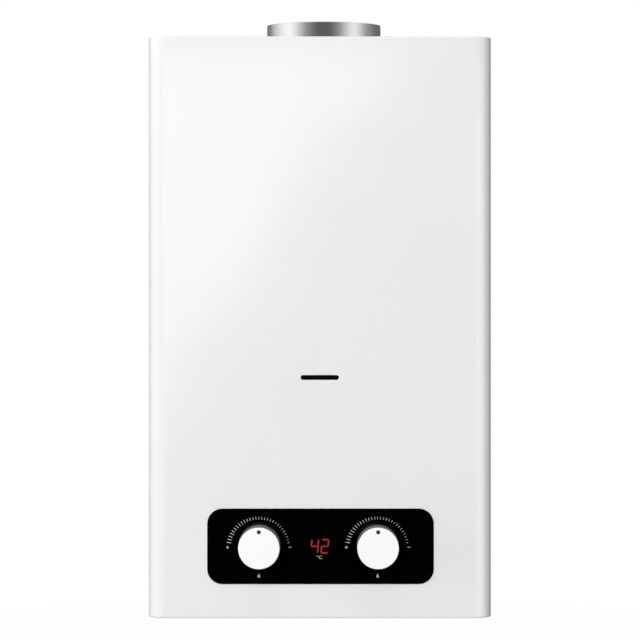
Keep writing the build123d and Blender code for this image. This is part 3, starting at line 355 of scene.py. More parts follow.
# The first ones go by the names of the record's material slots, the others by their own.
finishes = {
    "white_enamel": whiteEnamel(),
    "galvanised_steel": galvanisedSheet(),
    "stainless_steel": stainlessSheet("stainlessPressed", (1, 8, 1), 0.22),
    "black_fascia": blackFascia(),
    "knob_grey": mouldedPlastic("knobGrey", rgb(0.2, 0.2, 0.202), rgb(0.27, 0.27, 0.275),
                                grain=1400.0, depth=0.00001, base=0.3),
    "knob_white": mouldedPlastic("knobWhite", grey(0.965), grey(0.95),
                                 grain=1600.0, depth=0.000004, base=0.2, coat=0.2),
    "steel": workedMetal("platedSteel", rgb(0.68, 0.68, 0.66), rgb(0.45, 0.45, 0.44),
                         rgb(0.6, 0.58, 0.48), base=0.25),
    "copper": dippedCopper(),
    "brass": workedMetal("castBrass", rgb(0.8, 0.62, 0.3), rgb(0.58, 0.42, 0.18),
                         rgb(0.4, 0.27, 0.13), lines=(1, 1, 6)),
    "dark_glass": smokedGlass(),
    "circuit_green": circuitBoard(),
    "led_black": mouldedPlastic("displayBody", rgb(0.02, 0.006, 0.006), rgb(0.05, 0.03, 0.03), base=0.2),
    "ceramic_white": glazedCeramic(),
    "rubber_black": mouldedPlastic("blackRubber", grey(0.012), rgb(0.05, 0.05, 0.048),
                                   grain=500.0, depth=0.00005, base=0.65),
    "valve_aluminium": workedMetal("dieCastAluminium", rgb(0.7, 0.71, 0.72), rgb(0.5, 0.51, 0.53),
                                   grey(0.42), grain=420.0, depth=0.00006, base=0.38),
    "black_plastic": mouldedPlastic("blackPlastic", rgb(0.014, 0.014, 0.015), grey(0.06)),
    "grey_plastic": mouldedPlastic("greyPlastic", rgb(0.42, 0.43, 0.44), grey(0.55)),
    "cell_jacket": cellSleeve(),
    "seal_fibre": mouldedPlastic("sealFibre", rgb(0.34, 0.1, 0.07), rgb(0.5, 0.25, 0.2),
                                 grain=300.0, depth=0.00008, base=0.7),
    "nickel": workedMetal("springNickel", rgb(0.78, 0.76, 0.7), rgb(0.6, 0.58, 0.54),
                          rgb(0.5, 0.48, 0.42), base=0.16),
    "collarSteel": stainlessSheet(),
    "markWhite": printedInk("markWhite", grey(0.5), grey(0.42)),
    "markRed": printedInk("markRed", rgb(0.15, 0.012, 0.03), rgb(0.13, 0.015, 0.03)),
    "markBlue": printedInk("markBlue", rgb(0.045, 0.03, 0.25), rgb(0.04, 0.03, 0.2)),
    "digitRed": printedInk("digitRed", rgb(0.28, 0.028, 0.045), rgb(0.24, 0.022, 0.035), 0.7),
    # A painted glow: the dim red light round the lit figures, painted on a wider plate.
    "digitPaintedGlow": printedInk("digitPaintedGlow", rgb(0.042, 0.0003, 0.0009), rgb(0.036, 0.0003, 0.0008), 0.9),
}
print("materials made:", len(finishes))


# Dressing the CAD nodes.
# Each part of the record names its material slot; the node gets that slot's finish.
slotOf = {part["node"]: part["material_slot"] for part in frame["record"]["subparts"]}
for name, node in nodes.items():
    node.data.materials.clear()
    node.data.materials.append(finishes[slotOf[name]])
bodyOf = {name: node["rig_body"] for name, node in nodes.items()}


# Mesh tools.
# Quads of a grid of points P[i, j]; a closed direction joins its last line to its first.
def gridQuads(rows, columns, closeRows=False, closeColumns=False):
    index = np.arange(rows * columns).reshape(rows, columns)
    if closeRows:
        index = np.vstack([index, index[:1]])
    if closeColumns:
        index = np.hstack([index, index[:, :1]])
    corners = [index[:-1, :-1], index[:-1, 1:], index[1:, 1:], index[1:, :-1]]
    return np.stack(corners, axis=-1)


# Points (x, y, z) from arrays and plain numbers together.
def xyz(x, y, z):
    return np.stack(np.broadcast_arrays(x, y, z), -1)


# Angles of a full turn, and of a quarter turn with both its ends.
def fullTurn(steps):
    return np.linspace(0, 2 * math.pi, steps, endpoint=False)


def quarterTurn(steps):
    return np.linspace(0, math.pi / 2, steps + 1)


# A grid of points as a sheet: its vertices and its faces. Loops run along its second direction.
def gridSheet(points, closeRows=False, closeColumns=True):
    quads = gridQuads(*points.shape[:2], closeRows, closeColumns)
    return points.reshape(-1, 3), quads.reshape(-1, 4).tolist()


# Closed loops of points one after another, with a flat cap on the last and, if wanted, on the first.
def loftSheet(loops, capFirst=True):
    count, around = loops.shape[:2]
    points, faces = gridSheet(loops)
    if capFirst:
        faces.append(list(range(around)))
    faces.append(list(range((count - 1) * around, count * around)))
    return points, faces


join = {"merge": 0.000002, "sliver": 0.000001, "sharp": 32.0, "leastRound": 0.00001}


# A modifier with its settings.
def modifier(piece, name, kind, **settings):
    made = piece.modifiers.new(name, kind)
    for key, value in settings.items():
        setattr(made, key, value)


# A piece that stands in for a CAD node takes the node's body, slot and finish; any other is given them.
# With a thickness it is a sheet, and outward names the side that its outer face looks to.
def makePiece(name, sheets, stands=None, finish=None, body=None, slot=None,
              sharp=join["sharp"], outward=None, thickness=None):
    if stands:
        body, slot = bodyOf[stands], slotOf[stands]
    points, faces, base = [], [], 0
    for vertices, polygons in sheets:
        points.append(np.asarray(vertices, float))
        faces += [[base + corner for corner in polygon] for polygon in polygons]
        base += len(vertices)
    mesh = bpy.data.meshes.new(name)
    mesh.from_pydata(np.vstack(points).tolist(), [], faces)
    work = bmesh.new()
    work.from_mesh(mesh)
    bmesh.ops.remove_doubles(work, verts=work.verts, dist=join["merge"])
    bmesh.ops.dissolve_degenerate(work, edges=work.edges, dist=join["sliver"])
    bmesh.ops.recalc_face_normals(work, faces=work.faces)
    if outward is not None:
        side = Vector(outward)
        reach = max(work.faces, key=lambda face: face.calc_center_median().dot(side))
        if reach.normal.dot(side) < 0:
            bmesh.ops.reverse_faces(work, faces=work.faces)
    work.to_mesh(mesh)
    work.free()
    mesh.polygons.foreach_set("use_smooth", [True] * len(mesh.polygons))
    mesh.set_sharp_from_angle(angle=math.radians(sharp))
    mesh.materials.append(finishes[finish or slot])
    piece = placed(name, mesh)
    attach(piece, body)
    if stands:
        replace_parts(piece, stands)
    if thickness:
        modifier(piece, "sheet", "SOLIDIFY", thickness=thickness, offset=-1.0, use_even_offset=True)
    modifier(piece, "flat", "WEIGHTED_NORMAL", keep_sharp=True)


# A quarter round as (inset, drop) pairs: inset r(1 - sin t), drop r(1 - cos t).
def quarterRound(radius, steps):
    turn = quarterTurn(steps)
    return radius * (1 - np.sin(turn)), radius * (1 - np.cos(turn))


# The outline of a rectangle with round corners: corner centre plus r(cos a, sin a), drawn in by an inset.
def roundedOutline(halfWide, halfTall, radius, inset, steps):
    turn = quarterTurn(steps)
    bend = max(radius - inset, join["leastRound"])
    corners = []
    for quarter, (signX, signZ) in enumerate([(1, 1), (-1, 1), (-1, -1), (1, -1)]):
        angle = turn + quarter * math.pi / 2
        x = signX * (halfWide - inset - bend) + bend * np.cos(angle)
        z = signZ * (halfTall - inset - bend) + bend * np.sin(angle)
        corners.append(np.stack([x, z], axis=-1))
    return np.vstack(corners)


# Turned form: S(t, a) = centre + r(t)(cos a, sin a) across the axis + h(t) along it. The axis is square to
# X, and a starts from X.
def turned(radii, heights, centre, steps, along=(0, 0, 1)):
    along = np.array(along, float)
    first = np.array((1.0, 0.0, 0.0))
    second = np.cross(along, first)
    angle = fullTurn(steps)
    ring = np.cos(angle)[:, None] * first + np.sin(angle)[:, None] * second
    radii, heights = np.asarray(radii, float), np.asarray(heights, float)
    return np.array(centre) + radii[:, None, None] * ring[None] + heights[:, None, None] * along


# A turned form as a sheet; lobes(a) scales its radii round the axis.
def turnedSheet(radii, heights, centre, along=(0, 0, 1), steps=64, lobes=None):
    points = turned(radii, heights, centre, steps, along)
    if lobes is not None:
        axis = np.array(centre) + np.asarray(heights, float)[:, None, None] * np.array(along, float)
        points = axis + (points - axis) * lobes(fullTurn(steps))[None, :, None]
    return gridSheet(points)


print("mesh tools ready")


# The case's front cover. Grid lines at the heights and on the sides hold the form between its openings.
cover = {"edge": 0.016, "bend": 0.0016, "sheet": 0.001, "frontLip": 0.014, "sideLip": 0.006,
         "edgeSteps": 18, "bendSteps": 6, "slotSteps": 12, "louvreSteps": 4,
         "slotWide": 0.0368, "slotTall": 0.0046, "slotHeight": 0.231,
         "louvres": 8, "louvreFirst": 0.070, "louvrePitch": 0.009, "louvreLong": 0.046,
         "louvreTall": 0.003, "louvreMiddle": -0.062, "panelGap": 0.0003, "beside": 0.0004,
         "sideLines": (-0.018, -0.12), "frontLine": 0.06,
         "heightLines": (0.02, 0.16, 0.2, 0.26, 0.32, 0.4, 0.48, 0.53), "same": 1e-9, "digits": 7}


# Rows across a slot with half-round ends, and how far its ends bulge at a height.
def slotRows(middle, tall, steps):
    return middle + tall / 2 * np.sin(np.linspace(-math.pi / 2, math.pi / 2, steps + 1))


def endBulge(heights, middles, tall):
    away = heights[:, None] - np.atleast_1d(middles)[None]
    return np.sqrt(np.clip((tall / 2) ** 2 - away ** 2, 0, None)).max(axis=1)


# The plan's points with their outward normals, (x, y, normal x, normal y), from the rear of one side
# round both front edges to the rear of the other. An edge is half - e + e cos t, front + e - e sin t.
def coverPlan(sideY, frontX):
    half, front, edge = caseHigh.x, caseLow.y, cover["edge"]
    turn = quarterTurn(cover["edgeSteps"])
    left = np.array([(-half, y, -1.0, 0.0) for y in sideY])
    arcX = -half + edge - edge * np.cos(turn)
    arcY = front + edge - edge * np.sin(turn)
    arc = np.stack([arcX, arcY, -np.cos(turn), -np.sin(turn)], -1)[1:-1]
    middle = np.array([(x, front, 0.0, -1.0) for x in frontX])
    mirror = (-1, 1, -1, 1)
    return np.vstack([left, arc, middle, arc[::-1] * mirror, left[::-1] * mirror])


# The folded pan: S(u, v) = plan(u) - outward normal(u) x inset(v), at height z(v). The lips end on a
# square mouth.
def frontCover():
    c = cover
    half, front, tall = caseHigh.x, caseLow.y, caseHigh.z
    beside = c["beside"]
    louvreEnd = c["louvreLong"] / 2 - c["louvreTall"] / 2
    ends = [c["louvreMiddle"] + louvreEnd, c["louvreMiddle"] - louvreEnd]
    past = c["louvreTall"] / 2 + beside
    rearLine, frontLine = c["sideLines"]
    sideY = [caseHigh.y, rearLine, ends[0] + past, ends[0], ends[1], ends[1] - past, frontLine,
             front + c["edge"]]
    (holeLeft, holeRight), (holeLow, holeHigh) = panelHole
    slotEnd = c["slotWide"] / 2 - c["slotTall"] / 2
    slotPast = c["slotWide"] / 2 + beside
    frontX = [-half + c["edge"], holeLeft - beside, holeLeft, -c["frontLine"], -slotPast, -slotEnd, 0.0,
              slotEnd, slotPast, c["frontLine"], holeRight, holeRight + beside, half - c["edge"]]
    plan = coverPlan(sideY, frontX)

    inset, drop = quarterRound(c["bend"], c["bendSteps"])
    louvreZ = c["louvreFirst"] + c["louvrePitch"] * np.arange(c["louvres"])
    slots = [(middle, c["louvreTall"], c["louvreSteps"]) for middle in louvreZ]
    slots.append((c["slotHeight"], c["slotTall"], c["slotSteps"]))
    wall = [(holeLow - beside, holeLow, holeHigh, holeHigh + beside), c["heightLines"]]
    for middle, high, steps in slots:
        wall.append(slotRows(middle, high, steps))
        wall.append(middle + np.array([-1, 1]) * (high / 2 + beside))
    wall = np.unique(np.round(np.concatenate(wall), c["digits"]))
    heights = np.concatenate([[0.0], drop, wall, tall - drop[::-1], [tall]])
    insets = np.concatenate([[c["bend"]], inset, np.zeros(len(wall)), inset[::-1], [c["bend"]]])
    x = plan[:, None, 0] - plan[:, None, 2] * insets[None]
    y = plan[:, None, 1] - plan[:, None, 3] * insets[None]
    for lip in (0, -1):
        x[:, lip] = np.clip(x[:, lip], -half + c["sideLip"], half - c["sideLip"])
        y[:, lip] = np.maximum(y[:, lip], front + c["frontLip"])
    # at the ends of the slot and the louvres, the grid line bulges outward over their height
    slotOut = endBulge(heights, c["slotHeight"], c["slotTall"])
    louvreOut = endBulge(heights, louvreZ, c["louvreTall"])
    onFront, onSide = plan[:, 3] == -1.0, np.abs(plan[:, 2]) == 1.0
    atEnd = onFront & (np.abs(np.abs(plan[:, 0]) - slotEnd) < c["same"])
    x += (np.sign(plan[:, 0]) * atEnd)[:, None] * slotOut
    for sign, end in zip((1, -1), ends):
        atEnd = onSide & (np.abs(plan[:, 1] - end) < c["same"])
        y += (sign * atEnd)[:, None] * louvreOut
    points = xyz(x, y, heights)
    quads = gridQuads(*x.shape)
    midX = (plan[:-1, 0] + plan[1:, 0])[:, None] / 2
    midY = (plan[:-1, 1] + plan[1:, 1])[:, None] / 2
    midZ = (heights[:-1] + heights[1:])[None] / 2
    onFront, onSide = ((on[:-1] & on[1:])[:, None] for on in (onFront, onSide))
    inPanel = (midX > holeLeft) & (midX < holeRight) & (midZ > holeLow) & (midZ < holeHigh)
    inSlot = (np.abs(midX) < slotEnd) & (np.abs(midZ - c["slotHeight"]) < c["slotTall"] / 2)
    inLouvre = (np.abs(midZ[..., None] - louvreZ) < c["louvreTall"] / 2).any(-1)
    inLouvre = inLouvre & (midY < ends[0]) & (midY > ends[1])
    hole = (onFront & (inPanel | inSlot)) | (onSide & inLouvre)
    faces = quads[~hole].tolist()
    makePiece("caseCover", [(points.reshape(-1, 3), faces)], "front_cover",
              outward=(0, -1, 0), thickness=c["sheet"])


panelLow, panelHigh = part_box("control_panel")
panel = {"corner": 0.0146, "innerCorner": 0.0005, "roll": 0.0003, "rollSteps": 5, "sheet": 0.0012,
         "border": 0.005, "rim": 0.002, "face": 0.003, "steps": 14}
panelEdge = panel["border"] - cover["panelGap"]
panelHole = [(panelLow.x + panelEdge, panelHigh.x - panelEdge),
             (panelLow.z + panelEdge, panelHigh.z - panelEdge)]
frontCover()
print("case cover made")

# The flue collar.
collar = {"sheet": 0.0008, "flange": 0.007, "lip": 0.0003, "lipIn": 0.4, "lipDrop": 0.3, "near": 0.0003,
          "fillet": 0.0006, "steps": 256}


# A tube on a square foot: S(t, a) turned round Z; the foot's edge lies at half / max(|cos a|, |sin a|).
def flueCollar():
    c = collar
    low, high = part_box("flue_collar")
    middle = np.array([(low.x + high.x) / 2, (low.y + high.y) / 2])
    foot = (high.x - low.x) / 2
    outer = foot - c["flange"]
    inner = outer - c["sheet"]
    lip, near, fillet = c["lip"], c["near"], c["fillet"]
    base = low.z + c["sheet"]
    profile = [(inner, low.z), (inner, low.z + near), (inner, high.z - lip),
               (inner + lip * c["lipIn"], high.z - lip * c["lipDrop"]), ((inner + outer) / 2, high.z),
               (outer - lip * c["lipIn"], high.z - lip * c["lipDrop"]), (outer, high.z - lip),
               (outer, high.z - lip - near), (outer, base + fillet + near), (outer, base + fillet),
               (outer + fillet, base), (foot, base), (foot, low.z), (inner, low.z)]
    radii, heights = zip(*profile)
    points = turned(radii, heights, (*middle, 0.0), steps=c["steps"])
    across = points[0, :, :2] - middle
    across /= np.linalg.norm(across, axis=1)[:, None]
    square = foot / np.abs(across).max(axis=1)
    for level, radius in enumerate(radii):
        if radius == foot:
            points[level, :, :2] = middle + across * square[:, None]
    makePiece("flueRing", [gridSheet(points)], "flue_collar", finish="collarSteel")


flueCollar()
print("flue collar made")


# The control panel.
# The fascia: loops of one rounded outline from its face over the rolled edge to its back, then the frame
# behind. A level is (inset, depth, border, corner).
def controlPanel():
    p = panel
    middle = (panelLow + panelHigh) / 2
    halfWide, halfTall = (panelHigh.x - panelLow.x) / 2, (panelHigh.z - panelLow.z) / 2
    face, back = panelLow.y, panelHigh.y
    inner, mouth = p["innerCorner"], p["border"] + p["rim"]
    inset, drop = quarterRound(p["roll"], p["rollSteps"])
    levels = [(away, face + down, 0.0, p["corner"]) for away, down in zip(inset, drop)]
    levels += [(0.0, face + p["sheet"], 0.0, p["corner"]), (0.0, face + p["sheet"], p["border"], inner),
               (0.0, back, p["border"], inner), (0.0, back, mouth, inner),
               (0.0, face + p["face"], mouth, inner)]
    loops = []
    for away, y, border, corner in levels:
        flat = roundedOutline(halfWide - border, halfTall - border, corner, away, p["steps"])
        loops.append(xyz(middle.x + flat[:, 0], y, middle.z + flat[:, 1]))
    makePiece("fascia", [loftSheet(np.array(loops))], "control_panel")


controlPanel()

# The dials.
dial = {"rim": 0.0009, "rimSteps": 8, "edge": 0.0004, "edgeSteps": 4, "groove": 0.0007, "draft": 0.0003,
        "straight": 0.003, "foot": 0.0006, "dot": 0.0020, "dotRise": 0.0155, "dotSteps": 40,
        "film": 0.00006, "steps": 128}


# Skirt and cap are turned round Y, and the dot is a thin disc that stands a film proud of the cap.
def dialPieces(side, markFinish):
    d = dial
    low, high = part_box(side + "_knob")
    capLow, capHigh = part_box(side + "_knob_cap")
    x, z = (low.x + high.x) / 2, (low.z + high.z) / 2
    centre, along = (x, 0, z), (0, 1, 0)
    radius = (high.x - low.x) / 2
    inset, drop = quarterRound(d["edge"], d["edgeSteps"])
    radii = [0.0, radius - d["edge"], *(radius - inset), radius, radius - d["draft"],
             radius - d["groove"], 0.0]
    depths = [high.y, high.y, *(high.y - drop), high.y - d["straight"], low.y + d["foot"], low.y, low.y]
    skirt = turnedSheet(radii, depths, centre, along, d["steps"])
    makePiece(side + "DialSkirt", [skirt], side + "_knob")
    radius, face = (capHigh.x - capLow.x) / 2, capLow.y + d["film"]
    inset, drop = quarterRound(d["rim"], d["rimSteps"])
    radii = [0.0, radius - d["groove"], radius, *(radius - inset[::-1]), 0.0]
    depths = [capHigh.y, capHigh.y, capHigh.y - d["edge"], *(face + drop[::-1]), face]
    cap = turnedSheet(radii, depths, centre, along, d["steps"])
    makePiece(side + "DialCap", [cap], side + "_knob_cap")
    radii = [0.0, d["dot"], d["dot"], 0.0]
    depths = [face - d["film"], face - d["film"], face, face]
    dot = turnedSheet(radii, depths, (x, 0, z + d["dotRise"]), along, d["dotSteps"])
    makePiece(side + "DialDot", [dot], finish=markFinish, body=bodyOf[side + "_knob"])


dialPieces("gas", "markRed")
dialPieces("water", "markBlue")
print("panel and dials made")

# Printed marks on the panel.
marks = {"ticks": 29, "firstTurn": 9.0, "lastTurn": 171.0, "inner": (0.0281, 0.0266, 0.0270),
         "outer": (0.0296, 0.0293, 0.0312), "wide": (0.00045, 0.00052, 0.00068),
         "gasScale": (-0.0585, 0.0682), "waterScale": (0.0555, 0.0683),
         "signAway": 0.030, "signSize": 0.0029, "signThick": 0.0006, "film": 0.00004,
         "iconTall": 0.0042, "iconHeight": 0.0411, "iconSteps": 28, "flame": (0.7, 1.5, 0.16),
         "drop": (0.66, 1.8, 0.0), "unit": "°C", "unitPlace": (-0.0006, 0.0587),
         "unitExtent": (0.0058, 0.0031), "letterSteps": 3}
inkFace = panelLow.y


# Flat plates of ink: corners (x, z) per plate, each a thin closed prism on the panel's face.
def inkPlates(name, plates, finish, film=marks["film"]):
    front = inkFace - film
    sheets = []
    for plate in plates:
        plate = np.asarray(plate, float)
        near = xyz(plate[:, 0], front, plate[:, 1])
        far = near + (0.0, film, 0.0)
        sheets.append(loftSheet(np.array([near, far])))
    makePiece(name, sheets, finish=finish, body="heater")


def bar(middleX, middleZ, halfX, halfZ):
    return [(middleX - halfX, middleZ - halfZ), (middleX + halfX, middleZ - halfZ),
            (middleX + halfX, middleZ + halfZ), (middleX - halfX, middleZ + halfZ)]


# A scale: each tick is a bar from its inner to its outer radius along the direction (cos a, sin a). A minus
# stands at the right of it and a plus at the left.
def scaleTicks(side):
    m = marks
    x, z = m[side + "Scale"]
    degrees = np.linspace(m["firstTurn"], m["lastTurn"], m["ticks"])
    inner, outer, wide = (np.interp(degrees, (0, 90, 180), m[key]) for key in ("inner", "outer", "wide"))
    angle = np.radians(degrees)
    along = np.stack([np.cos(angle), np.sin(angle)], -1)
    across = np.stack([-np.sin(angle), np.cos(angle)], -1) * wide[:, None] / 2
    centre = np.array((x, z))
    start, end = centre + along * inner[:, None], centre + along * outer[:, None]
    plates = list(np.stack([start - across, end - across, end + across, start + across], 1))
    size, thick = m["signSize"] / 2, m["signThick"] / 2
    plates.append(bar(x + m["signAway"], z, size, thick))
    plusX = x - m["signAway"]
    plates += [bar(plusX, z, size, thick), bar(plusX, z + (size + thick) / 2, thick, (size - thick) / 2),
               bar(plusX, z - (size + thick) / 2, thick, (size - thick) / 2)]
    inkPlates(side + "Scale", plates, "markWhite")


# The unit sign: Blender's own letters made a mesh, fitted to a width and height, then put on the face.
# Its walls stand on the sides that one polygon alone has.
def unitMark():
    m = marks
    curve = bpy.data.curves.new("unit", "FONT")
    curve.body = m["unit"]
    curve.resolution_u = m["letterSteps"]
    letters = placed("unitDraft", curve)
    bpy.context.view_layer.update()
    mesh = bpy.data.meshes.new_from_object(letters)
    bpy.data.objects.remove(letters)
    flat = np.zeros(len(mesh.vertices) * 3)
    mesh.vertices.foreach_get("co", flat)
    flat = flat.reshape(-1, 3)[:, :2]
    low, high = flat.min(0), flat.max(0)
    spot = (flat - (low + high) / 2) / (high - low) * m["unitExtent"] + m["unitPlace"]
    near = xyz(spot[:, 0], inkFace - m["film"], spot[:, 1])
    faces = [list(polygon.vertices) for polygon in mesh.polygons]
    sides = [side for face in faces for side in zip(face, face[1:] + face[:1])]
    count = len(near)
    walls = [[a, b, b + count, a + count] for a, b in sides if (b, a) not in sides]
    back = [[corner + count for corner in reversed(face)] for face in faces]
    points = np.vstack([near, near + (0.0, m["film"], 0.0)])
    makePiece("unitMark", [(points, faces + back + walls)], finish="markWhite", body="heater")


# A drop: x = sin t sin(t/2)^p across, z = cos t up, so its tip is at the top; a flame's tip also sways.
def dropOutline(wide, tall, power, sway):
    turn = fullTurn(marks["iconSteps"])
    x = np.sin(turn) * np.abs(np.sin(turn / 2)) ** power
    z = np.cos(turn)
    x = x / np.abs(x).max() * wide / 2 + sway * np.clip(z, 0, None) ** 2
    return np.stack([x, z * tall / 2], -1)


# Pictograms under the dials; a shape is (width, power, sway), with width and sway as shares of its height.
def dialIcon(name, shape, side):
    wide, power, sway = marks[shape]
    tall = marks["iconTall"]
    outline = dropOutline(tall * wide, tall, power, tall * sway)
    inkPlates(name, [outline + (marks[side + "Scale"][0], marks["iconHeight"])], "markWhite")


scaleTicks("gas")
scaleTicks("water")
dialIcon("flameMark", "flame", "gas")
dialIcon("dropMark", "drop", "water")
unitMark()

# The lit figures, and behind them a painted glow: a wider, dimly glowing red plate that stands in for the
# light spilling round each segment.
figures = {"text": "42", "middle": 0.0, "low": 0.0625, "tall": 0.0134, "wide": 0.0067, "pitch": 0.0097,
           "thick": 0.0008, "gap": 0.0001, "lean": 0.08, "paintedGlowWide": 0.0023}
segmentsOf = {"4": "bcfg", "2": "abdeg"}
segmentEnds = {"a": ((-1, 1), (1, 1)), "b": ((1, 1), (1, 0)), "c": ((1, 0), (1, -1)),
               "d": ((-1, -1), (1, -1)), "e": ((-1, 0), (-1, -1)), "f": ((-1, 1), (-1, 0)),
               "g": ((-1, 0), (1, 0))}


# One segment: a long hexagon between two ends, pointed by half its thickness.
def segmentPlate(start, end, thick):
    along = (end - start) / np.linalg.norm(end - start)
    across = np.array((-along[1], along[0])) * thick / 2
    tip = along * thick / 2
    return np.array([start, start + tip - across, end - tip - across,
                     end, end - tip + across, start + tip + across])


def litFigures(name, thick, finish, film):
    g = figures
    half, tall = g["wide"] / 2, g["tall"] / 2
    plates = []
    for place, figure in enumerate(g["text"]):
        middle = g["middle"] + (place - (len(g["text"]) - 1) / 2) * g["pitch"]
        for key in segmentsOf[figure]:
            ends = np.array(segmentEnds[key]) * (half, tall)
            start, end = ends * (tall - g["thick"] / 2) / tall
            reach = (end - start) / np.linalg.norm(end - start) * (g["gap"] - (thick - g["thick"]) / 2)
            plate = segmentPlate(start + reach, end - reach, thick)
            plate[:, 0] += middle + plate[:, 1] * g["lean"]
            plate[:, 1] += g["low"] + tall
            plates.append(plate)
    inkPlates(name, plates, finish, film=film)


# The painted glow first: wider plates behind the figures, dimly glowing red, in place of the light that
# spills round them.
litFigures("figurePaintedGlow", figures["paintedGlowWide"], "digitPaintedGlow", marks["film"] / 2)
litFigures("litFigures", figures["thick"], "digitRed", marks["film"])
print("marks and figures made")

# Fittings under and beside the case.
# A bar with rounded edges: rounded rectangles drawn in at both ends, lofted along Z.
barSteps = {"edge": 3, "corner": 4}


def roundedBar(low, high, radius):
    low, high = np.array(low, float), np.array(high, float)
    half = (high - low) / 2
    middle = (high + low) / 2
    inset, drop = quarterRound(radius, barSteps["edge"])
    loops = []
    for level, away in [*zip(low[2] + drop, inset), *zip(high[2] - drop[::-1], inset[::-1])]:
        flat = roundedOutline(half[0], half[1], radius, away, barSteps["corner"])
        loops.append(xyz(middle[0] + flat[:, 0], middle[1] + flat[:, 1], level))
    return loftSheet(np.array(loops))


# The pipe stubs: an outside thread, a chamfered hexagon and a plain neck, each round its own bore.
stub = {"radius": 0.01048, "pitch": 0.001814, "depth": 0.0011, "bore": 0.0072, "boreEdge": 0.0006,
        "neck": 0.0099, "coldFromHot": 0.074, "runOut": 0.0022, "lead": 0.0009, "steps": 72, "perTurn": 10,
        "hexHigh": 0.008, "hexReach": 0.014, "hexFace": 0.97, "slope": 0.58, "hexSteps": 96, "hexRows": 5,
        "floor": 0.020, "sharp": 24.0}


# Thread: r(z, a) = R - depth (1 + cos(2 pi z / pitch - a)) / 2, faded at the shoulder and coned at the end.
def threadSheet(x, y, low, shoulder, high):
    d = stub
    angle = fullTurn(d["steps"])
    count = int((shoulder - low) / d["pitch"] * d["perTurn"])
    z = np.linspace(low, shoulder, count)[:, None]
    fade = np.clip((shoulder - z) / d["runOut"], 0, 1)
    cut = d["depth"] * fade * (1 + np.cos(2 * math.pi * (z - low) / d["pitch"] - angle)) / 2
    cone = np.clip(d["lead"] - (z - low), 0, None)
    r = d["radius"] - np.maximum(cut, cone)
    thread = xyz(x + r * np.cos(angle), y + r * np.sin(angle), z)
    edge = d["boreEdge"]
    boreRadii = [d["bore"], d["bore"], d["bore"] + edge]
    bore = turned(boreRadii, [high, low + edge, low], (x, y, 0), steps=d["steps"])
    neck = turned([d["neck"], d["neck"]], [shoulder, high], (x, y, 0), steps=d["steps"])
    return gridSheet(np.concatenate([bore, thread, neck]), closeRows=True)


# Hexagon: r(z, a) is the lesser of the flats f / cos(a') and a cone that chamfers both ends.
def hexSheet(x, y, low, high):
    d = stub
    angle = fullTurn(d["hexSteps"])
    flat = d["hexReach"] * math.cos(math.pi / 6)
    flats = flat / np.cos(angle % (math.pi / 3) - math.pi / 6)
    face = flat * d["hexFace"]
    up = np.linspace(0, (d["hexReach"] - face) * d["slope"], d["hexRows"])
    z = np.concatenate([low + up, high - up[::-1]])[:, None]
    r = np.minimum(flats, face + np.minimum(z - low, high - z) / d["slope"])
    outer = xyz(x + r * np.cos(angle), y + r * np.sin(angle), z)
    neckX, neckY = x + d["neck"] * np.cos(angle), y + d["neck"] * np.sin(angle)
    ends = [xyz(neckX, neckY, level) for level in (high, low)]
    return gridSheet(np.concatenate([outer, ends]), closeRows=True)


def pipeStubs():
    d = stub
    low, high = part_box("pipe_stubs")
    y = (low.y + high.y) / 2
    hotX = high.x - d["hexReach"]
    shoulder = d["floor"] - d["hexHigh"]
    sheets = []
    for x in (low.x + d["hexReach"], hotX - d["coldFromHot"], hotX):
        sheets.append(threadSheet(x, y, low.z, shoulder, high.z))
        sheets.append(hexSheet(x, y, shoulder, d["floor"]))
    makePiece("pipeUnions", sheets, "pipe_stubs", sharp=d["sharp"])


# The cover's screws: h(r) = H (1 - k (r / R)^3), less a cross recess where |u| or |v| is small.
screw = {"radius": 0.0038, "high": 0.0018, "dome": 0.8, "wide": 0.0009, "long": 0.0022, "deep": 0.0010,
         "past": 0.0002, "sideSlope": 0.0003, "endSlope": 0.0005, "shank": 0.0018, "shankLong": 0.006,
         "rows": 30, "steps": 72, "sharp": 28.0}


def coverScrews():
    d = screw
    low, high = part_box("cover_screws")
    y, z = (low.y + high.y) / 2, (low.z + high.z) / 2
    t = np.linspace(0, 1, d["rows"])[:, None]
    angle = fullTurn(d["steps"])
    r = t * d["radius"]
    u, v = np.abs(r * np.cos(angle)), np.abs(r * np.sin(angle))
    side = np.clip((d["wide"] / 2 + d["past"] - np.minimum(u, v)) / d["sideSlope"], 0, 1)
    reach = np.clip((d["long"] - np.maximum(u, v)) / d["endSlope"], 0, 1)
    height = d["high"] * (1 - d["dome"] * t ** 3) - d["deep"] * side * reach
    inward = 1 - d["shank"] / d["radius"]
    rimY, rimZ = y + d["radius"] * np.cos(angle), z + d["radius"] * np.sin(angle)
    sheets = []
    for sign, face in ((-1, caseLow.x), (1, caseHigh.x)):
        head = xyz(face + sign * height, y + r * np.cos(angle), z + r * np.sin(angle))
        rim = xyz(face, rimY, rimZ)
        shank = rim + (np.array([0, y, z]) - rim) * (0, inward, inward)
        deep = shank - (sign * d["shankLong"], 0, 0)
        sheets.append(loftSheet(np.concatenate([head, [rim, shank, deep]]), capFirst=False))
    makePiece("coverScrewHeads", sheets, "cover_screws", sharp=d["sharp"])


# The drain cock: a grip with finger lobes r(a) = R (1 - k + k cos 8a), its stem and its lever.
drain = {"lobe": 0.05, "lobes": 8, "round": 0.0012, "roundSteps": 4, "gripTall": 0.008, "gripSteps": 128,
         "stem": 0.005, "leverHalf": 0.002}


